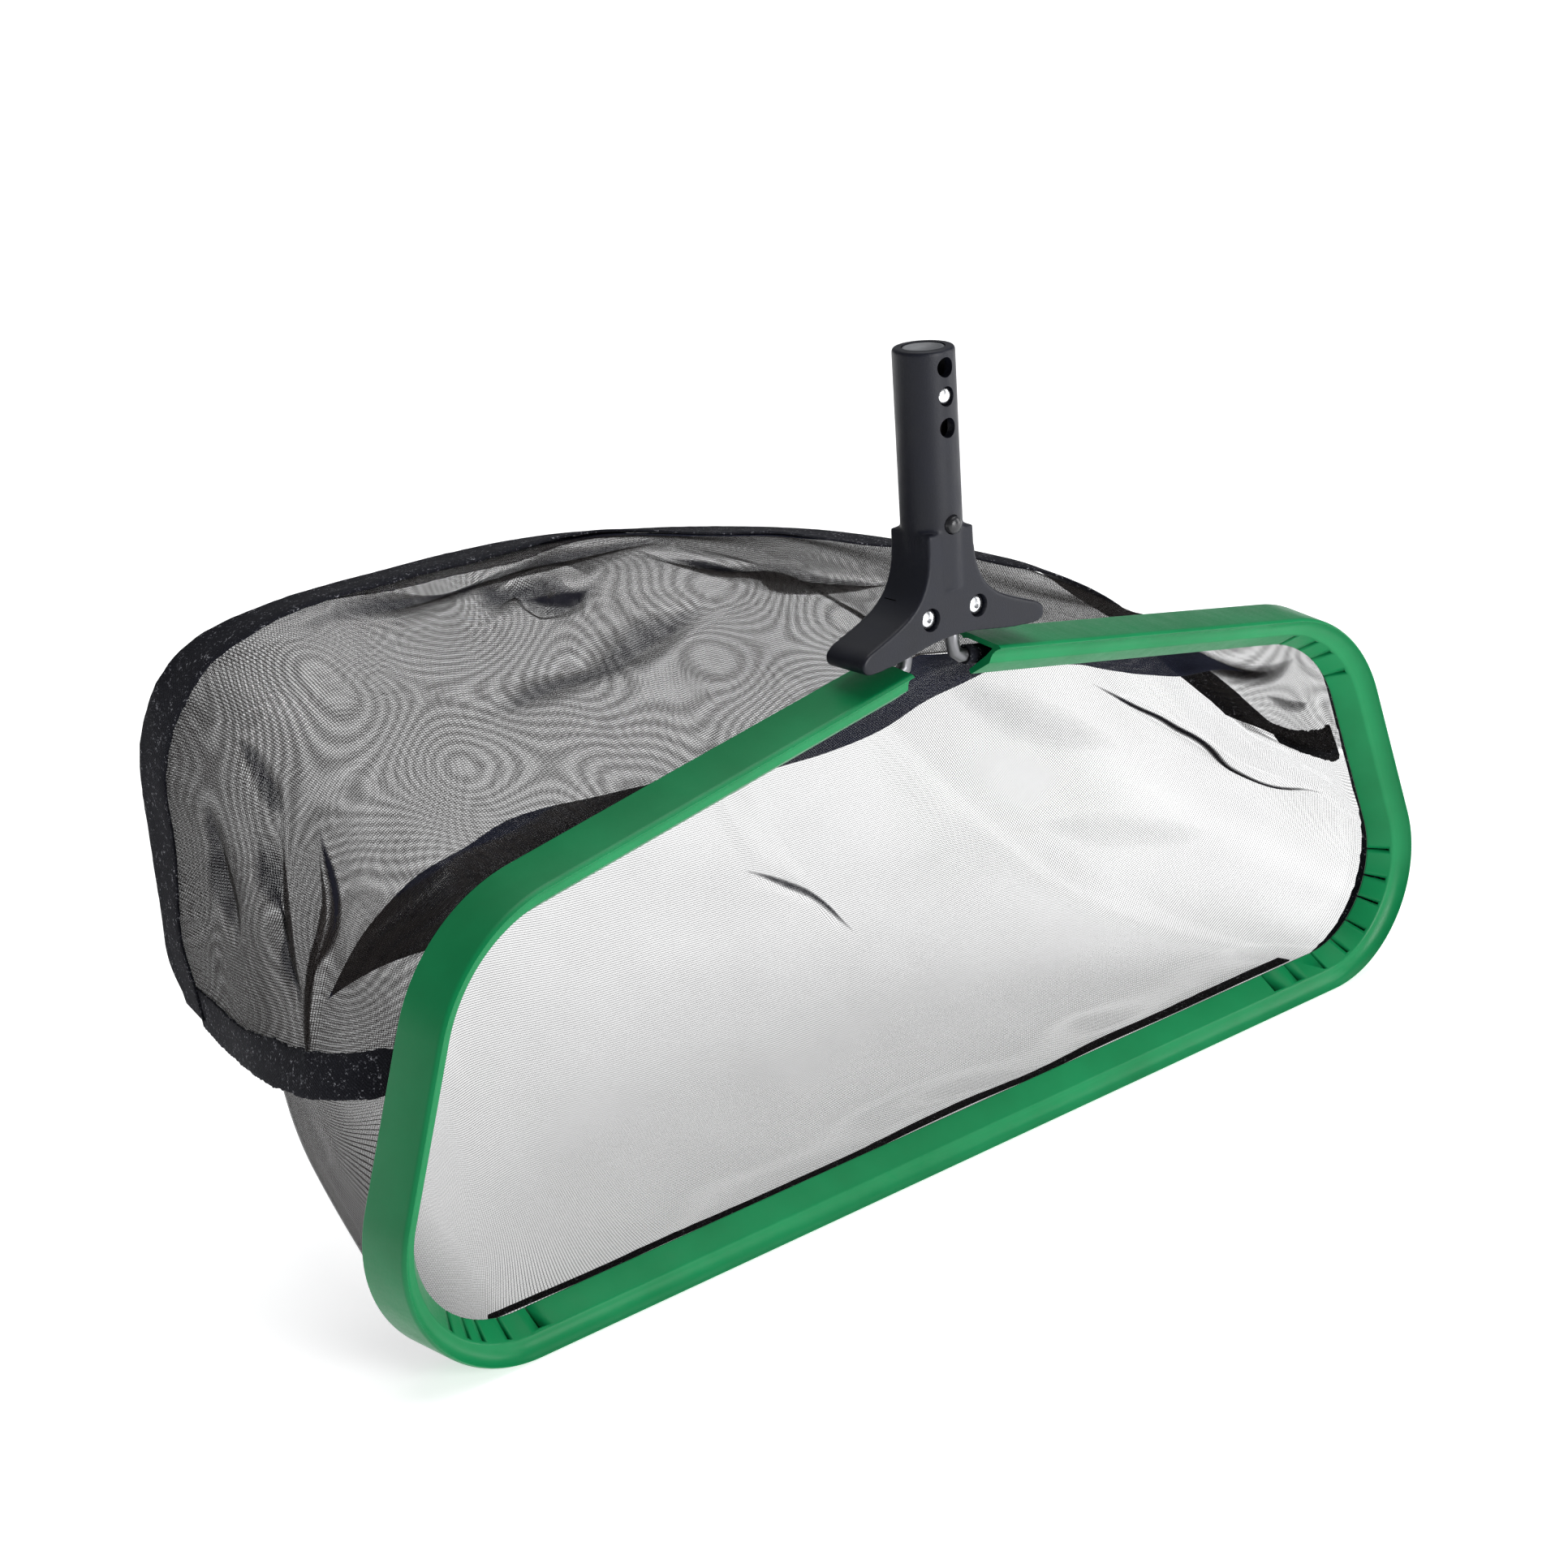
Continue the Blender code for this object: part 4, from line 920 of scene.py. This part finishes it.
def make_floor_hem(bottom):
    """The folded hem of the floor panel, showing as a black line over the bottom bar."""
    normals = grid_normals(bottom)
    strip = []
    for line, normal in zip(bottom[:, FINER_ALONG:], normals[:, FINER_ALONG:]):
        x, _, z = line[0]
        if z > 0.016 or not -0.235 < x < 0.236:
            continue
        wide = 0.0030 + 0.0027 * (x + 0.235) / 0.485 + 0.0004 * waver(x * 160.0, 0.0, 2.0)
        strip.append(read_off(line, normal, np.linspace(0.0, wide, 6), -0.0009))
    strip = np.array(strip)
    if (grid_normals(strip)[..., 2].mean() < 0) == (normals[0, 0, 2] < 0):
        strip = strip[::-1]
    obj = cloth_object("floor_hem", strip, tape_material("hem_tape"), 0.0008)
    return obj


HEM_STRIP_EDGE = mm([(-267, 54, 142), (-249, 48, 167), (-233, 40, 184), (-212, 36, 190),
                     (-186, 33, 197), (-132, 32, 192), (-97, 30, 180), (-69, 29, 182),
                     (-40, 29, 182), (-3, 29, 185), (29, 29, 191), (63, 29, 194), (104, 30, 184),
                     (146, 31, 169), (176, 34, 160), (212, 44, 151), (243, 52, 140)])
HEM_STRIP_FROM, HEM_STRIP_TO, STRIP_COLUMNS = -0.237, 0.152, 160


def make_hem_strip():
    """The heavier net strip that hangs from the hoop under the top bars."""
    upper = sorted((s for s in stations_between(FINE, 0.0) if s[1] > SEAM_Z + 0.020),
                   key=lambda s: s[0])
    hoop = [inset_point(s, HOOP_INSET + 0.0013, HEM_REAR) for s in upper]
    start = even_points([p for p in hoop if HEM_STRIP_FROM < p.x < HEM_STRIP_TO], STRIP_COLUMNS)
    end = even_points(smooth_route(HEM_STRIP_EDGE), STRIP_COLUMNS)
    grid = []
    for index, (a, b) in enumerate(zip(start, end)):
        column = []
        for t in np.linspace(0.0, 1.0, 14):
            wobble = waver(index * 0.09, t * 1.3, 4.0) * t
            hang = 0.006 * math.sin(math.pi * t)
            column.append(a.lerp(b, t) + Vector((0.0, hang + 0.0022 * wobble, 0.0012 * wobble)))
        grid.append(column)
    strip_net = mesh_material("net_double", 0.35, 0.97, 900.0, (0.0, 0.8), tone=HEM_TONE)
    obj = cloth_object("hem_strip", np.array(grid), strip_net, 0.0007)
    return obj


def make_mouth_hem():
    """The hem sleeve, drawn a little uneven round the hoop."""
    inner, cloth, slit = HOOP_RADIUS + 0.0003, 0.0008, 0.0008
    outer = inner + cloth
    arc = 14
    section = [(HOOP_INSET + slit, HEM_REAR, 0.0)]
    for radius, turn in ((inner, 1), (outer, -1)):
        opening = math.asin((slit + (cloth if turn < 0 else 0.0)) / radius)
        angles = [opening + (math.tau - 2 * opening) * part / arc for part in range(arc + 1)]
        if turn < 0:
            angles.reverse()
            section += [(HOOP_INSET - slit, HEM_REAR, 0.0),
                        (HOOP_INSET - slit - cloth, HEM_REAR, 0.0)]
        section += [(HOOP_INSET + radius * math.sin(a), HOOP_Y + radius * math.cos(a), 0.0)
                    for a in angles]
    section += [(HOOP_INSET + slit + cloth, HEM_REAR, 0.0)]

    def uneven(place, y):
        behind = max(0.0, (y - HOOP_Y - HOOP_RADIUS) / (HEM_REAR - HOOP_Y - HOOP_RADIUS))
        return y + 0.0010 * waver(place * 0.7, 0.0, 8.0) * behind
    obj = swept("hem_sleeve", stations_between(FINE, HEM_GAP_HALF), section,
                tape_material("hem_black"), change=uneven)
    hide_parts("mouth_hem")
    return obj


# ---- Rigid pieces ------------------------------------------------------------------


LIP_CREASE = (0.0081, 0.0063)
LIP_BULGE = 0.0013
LIP_RIDGE = 0.00018
RIDGE_STEPS = 9


def lip_section():
    front = -LIP_DEPTH / 2
    outer = [(0.0, 0.0022, 0.0016), (0.0, LIP_DEPTH, 0.0008), (0.0022, LIP_DEPTH, 0.0008),
             (0.0022, 0.0232, 0.0002), (0.0032, 0.0228, 0.0004), (0.0022, 0.0212, 0.0003),
             (0.0022, 0.0050, 0.0008)]
    scoop = [(0.0056, 0.0088, 0.0008), (0.0130, 0.0177, 0.0008), (0.0147, 0.0163, 0.0008),
             (*LIP_CREASE, 0.0009)]
    edge = Vector((0.0010, 0.0004))
    run = edge - Vector(LIP_CREASE)
    rise = Vector((-run.y, run.x)).normalized() * -1
    for step in range(RIDGE_STEPS):
        share = 0.16 + 0.76 * step / (RIDGE_STEPS - 1)
        spot = Vector(LIP_CREASE) + run * share
        spot += rise * (LIP_BULGE * math.sin(math.pi * share) + LIP_RIDGE * (step % 2))
        scoop.append((spot.x, spot.y, 0.0))
    scoop.append((*edge, 0.0008))
    section = [(inset, front + back, LIP_FLARE * back / LIP_DEPTH, radius)
               for inset, back, radius in outer]
    section += [(inset, front + back, 0.0, radius) for inset, back, radius in scoop]
    return rounded(section)


# Where the scoop wall is slit across: on the corners by the direction of the lip's
# outward normal in degrees, on the bottom bar by x.
SLIT_DIRECTIONS = [104, 89, 74, 59, 48, 34, -2, -18, -34, -51, -69, -89,
                   -101, -115, -125, -136, 158, 146, 132, 118]
SLIT_PLACES = [0.213, 0.197, -0.227]
SLIT_WIDTH = 0.0010


def slit_stations():
    """Stations where the scoop wall is slit across."""
    found = [(x, 0.0, 0.0, -1.0) for x in SLIT_PLACES]
    for degrees in SLIT_DIRECTIONS:
        direction = (math.cos(math.radians(degrees)), math.sin(math.radians(degrees)))
        found.append(max(FINE, key=lambda s: s[2] * direction[0] + s[3] * direction[1]))
    return found


def slit_blades(bm):
    """A thin blade across the scoop wall at every slit."""
    start = Vector((0.0074, 0.0076 - LIP_DEPTH / 2))
    run = Vector((0.0075, 0.0089)).normalized()
    side = Vector((-run.y, run.x))
    for station in slit_stations():
        half = Vector((station[3], 0.0, -station[2])) * SLIT_WIDTH / 2
        corners = [inset_point(station, *(start + run * reach + side * across))
                   for reach, across in ((0.0004, -0.0012), (0.0150, -0.0012),
                                         (0.0150, 0.0034), (0.0004, 0.0034))]
        loft(bm, [[corner + shift for corner in corners] for shift in (-half, half)])


def make_lip():
    obj = swept("lip_green", stations_between(FINE, LIP_GAP_HALF), lip_section(),
                lip_material())
    carve(obj, "slits", slit_blades)
    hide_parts("edge_lip")


# The casting's front outline from the shoulder to the middle.
CASTING_OUTLINE = mm([(12.1, 274), (12.3, 266), (13.3, 259), (15.5, 253), (19.2, 247.5),
                      (24.8, 243), (31.8, 239.5), (40, 236.2), (46.2, 233.8), (49.4, 231.3),
                      (50, 228.5), (48.7, 226.2), (45.5, 225.2), (38, 225.6), (29, 226.6),
                      (19, 228.4), (9, 230), (0, 230.5)])
SPIGOT_RADIUS, SPIGOT_TOP, BORE_RADIUS, BORE_FLOOR = 0.0125, 0.3465, 0.00875, 0.262
YOKE_HALF_DEPTH = 0.0115
HOLE_RADIUS, HOLES_Z = 0.0040, (0.3395, 0.3280, 0.3155, 0.2765)
SCREW_X, SCREW_Z = 0.013, 0.240


def drum(bm, radius, start, end, facets=48, rim=0.0):
    """A closed drum from start to end, its first end chamfered by rim."""
    start, run = Vector(start), Vector(end) - Vector(start)
    u, v = Vector((1, 0, 0)), Vector((0, 1, 0) if run.z else (0, 0, 1))
    levels = [(0.0, radius - rim), (rim, radius)] if rim else [(0.0, radius)]
    levels.append((run.length, radius))
    angles = [math.tau * k / facets for k in range(facets)]
    loft(bm, [[start + run.normalized() * along + (u * math.cos(a) + v * math.sin(a)) * wide
               for a in angles] for along, wide in levels])


def slab(bm, low, high):
    made = bmesh.ops.create_cube(bm, size=1.0)["verts"]
    bmesh.ops.scale(bm, verts=made, vec=[b - a for a, b in zip(low, high)])
    bmesh.ops.translate(bm, verts=made, vec=[(a + b) / 2 for a, b in zip(low, high)])


def make_casting():
    """The yoke and spigot as one casting with soft fillets, then its bores."""
    bm = bmesh.new()
    half = [tuple(point) for point in smooth_route(CASTING_OUTLINE, 0.0015)]
    outline = half + [(-x, z) for x, z in reversed(half[:-1])]
    loft(bm, [[(x, y, z) for x, z in outline] for y in (-YOKE_HALF_DEPTH, YOKE_HALF_DEPTH)])
    drum(bm, SPIGOT_RADIUS, (0.0, 0.0, SPIGOT_TOP), (0.0, 0.0, BORE_FLOOR - 0.012),
         facets=96, rim=0.0008)
    casting = finished("handle_cast", bm, cast_material(), sharp=180.0)
    remesh = casting.modifiers.new("remesh", "REMESH")
    remesh.mode = "VOXEL"
    remesh.voxel_size = 0.00065
    soften = casting.modifiers.new("soften", "SMOOTH")
    soften.factor = 0.5
    soften.iterations = 9
    applied(casting)
    casting.data.shade_smooth()
    carve(casting, "bore", lambda b: drum(b, BORE_RADIUS, (0.0, 0.0, SPIGOT_TOP + 0.001),
                                          (0.0, 0.0, BORE_FLOOR), facets=64))
    for height in HOLES_Z:
        carve(casting, "cross_hole",
              lambda b, z=height: drum(b, HOLE_RADIUS, (0.0, -0.02, z), (0.0, 0.02, z)))
    for side in (1, -1):
        x = side * SCREW_X
        carve(casting, "counterbore",
              lambda b, x=x: drum(b, 0.0048, (x, -0.02, SCREW_Z),
                                  (x, -YOKE_HALF_DEPTH + 0.0040, SCREW_Z)))
        carve(casting, "screw_hole",
              lambda b, x=x: drum(b, 0.0028, (x, -0.02, SCREW_Z), (x, 0.02, SCREW_Z), 24))
        carve(casting, "hoop_slot",
              lambda b, x=x: slab(b, (x - 0.0066, HOOP_Y - 0.0034, 0.2150),
                                  (x + 0.0066, HOOP_Y + 0.0034, 0.2474)))
    casting.data.shade_smooth()
    casting.data.set_sharp_from_angle(angle=math.radians(38))
    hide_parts("handle_casting")
    return casting


def dress(node, material, angle=30.0):
    """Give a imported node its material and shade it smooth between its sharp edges."""
    obj = NODES[node]
    obj.data.materials.clear()
    obj.data.materials.append(material)
    weld = obj.modifiers.new("weld", "WELD")
    weld.merge_threshold = 0.00001
    if obj.data.has_custom_normals:
        with bpy.context.temp_override(object=obj, active_object=obj):
            bpy.ops.mesh.customdata_custom_splitnormals_clear()
    obj.data.shade_smooth()
    obj.data.set_sharp_from_angle(angle=math.radians(angle))


def dress_rigid_nodes():
    steel = steel_material("steel_bright", (0.80, 0.81, 0.83), 0.16, 0.30)
    dress("spigot_end_plug", plastic_material("plug_grey", (0.12, 0.125, 0.135),
                                              (0.19, 0.195, 0.205), 0.5))
    for node in ("spring_cross_pin", "frame_screw_left", "frame_screw_right",
                 "frame_nut_left", "frame_nut_right", "lock_washer_left", "lock_washer_right"):
        dress(node, steel)
    dress("snap_spring", steel_material("spring_steel", (0.50, 0.51, 0.53), 0.28, 0.42))
    dress("frame_hoop", steel_material("hoop_steel", (0.20, 0.20, 0.21), 0.35, 0.5))
    button = plastic_material("button_black", (0.010, 0.010, 0.012), (0.020, 0.020, 0.024), 0.3)
    for node in ("snap_button_front", "snap_button_rear"):
        dress(node, button)


# ---- Making everything ---------------------------------------------------------------


def main():
    make_camera()
    make_studio()
    make_lip()
    top_grid, bottom_grid, roof, floor, roof_fold_shades, floor_fold_shades = make_bag()
    tapes = make_tapes(top_grid) + [make_seam_allowance(top_grid)] + roof_fold_shades
    hem = make_mouth_hem()
    strip = make_hem_strip()
    floor_hem = make_floor_hem(bottom_grid)
    make_casting()
    dress_rigid_nodes()
    scene.cycles.transparent_max_bounces = 32


main()
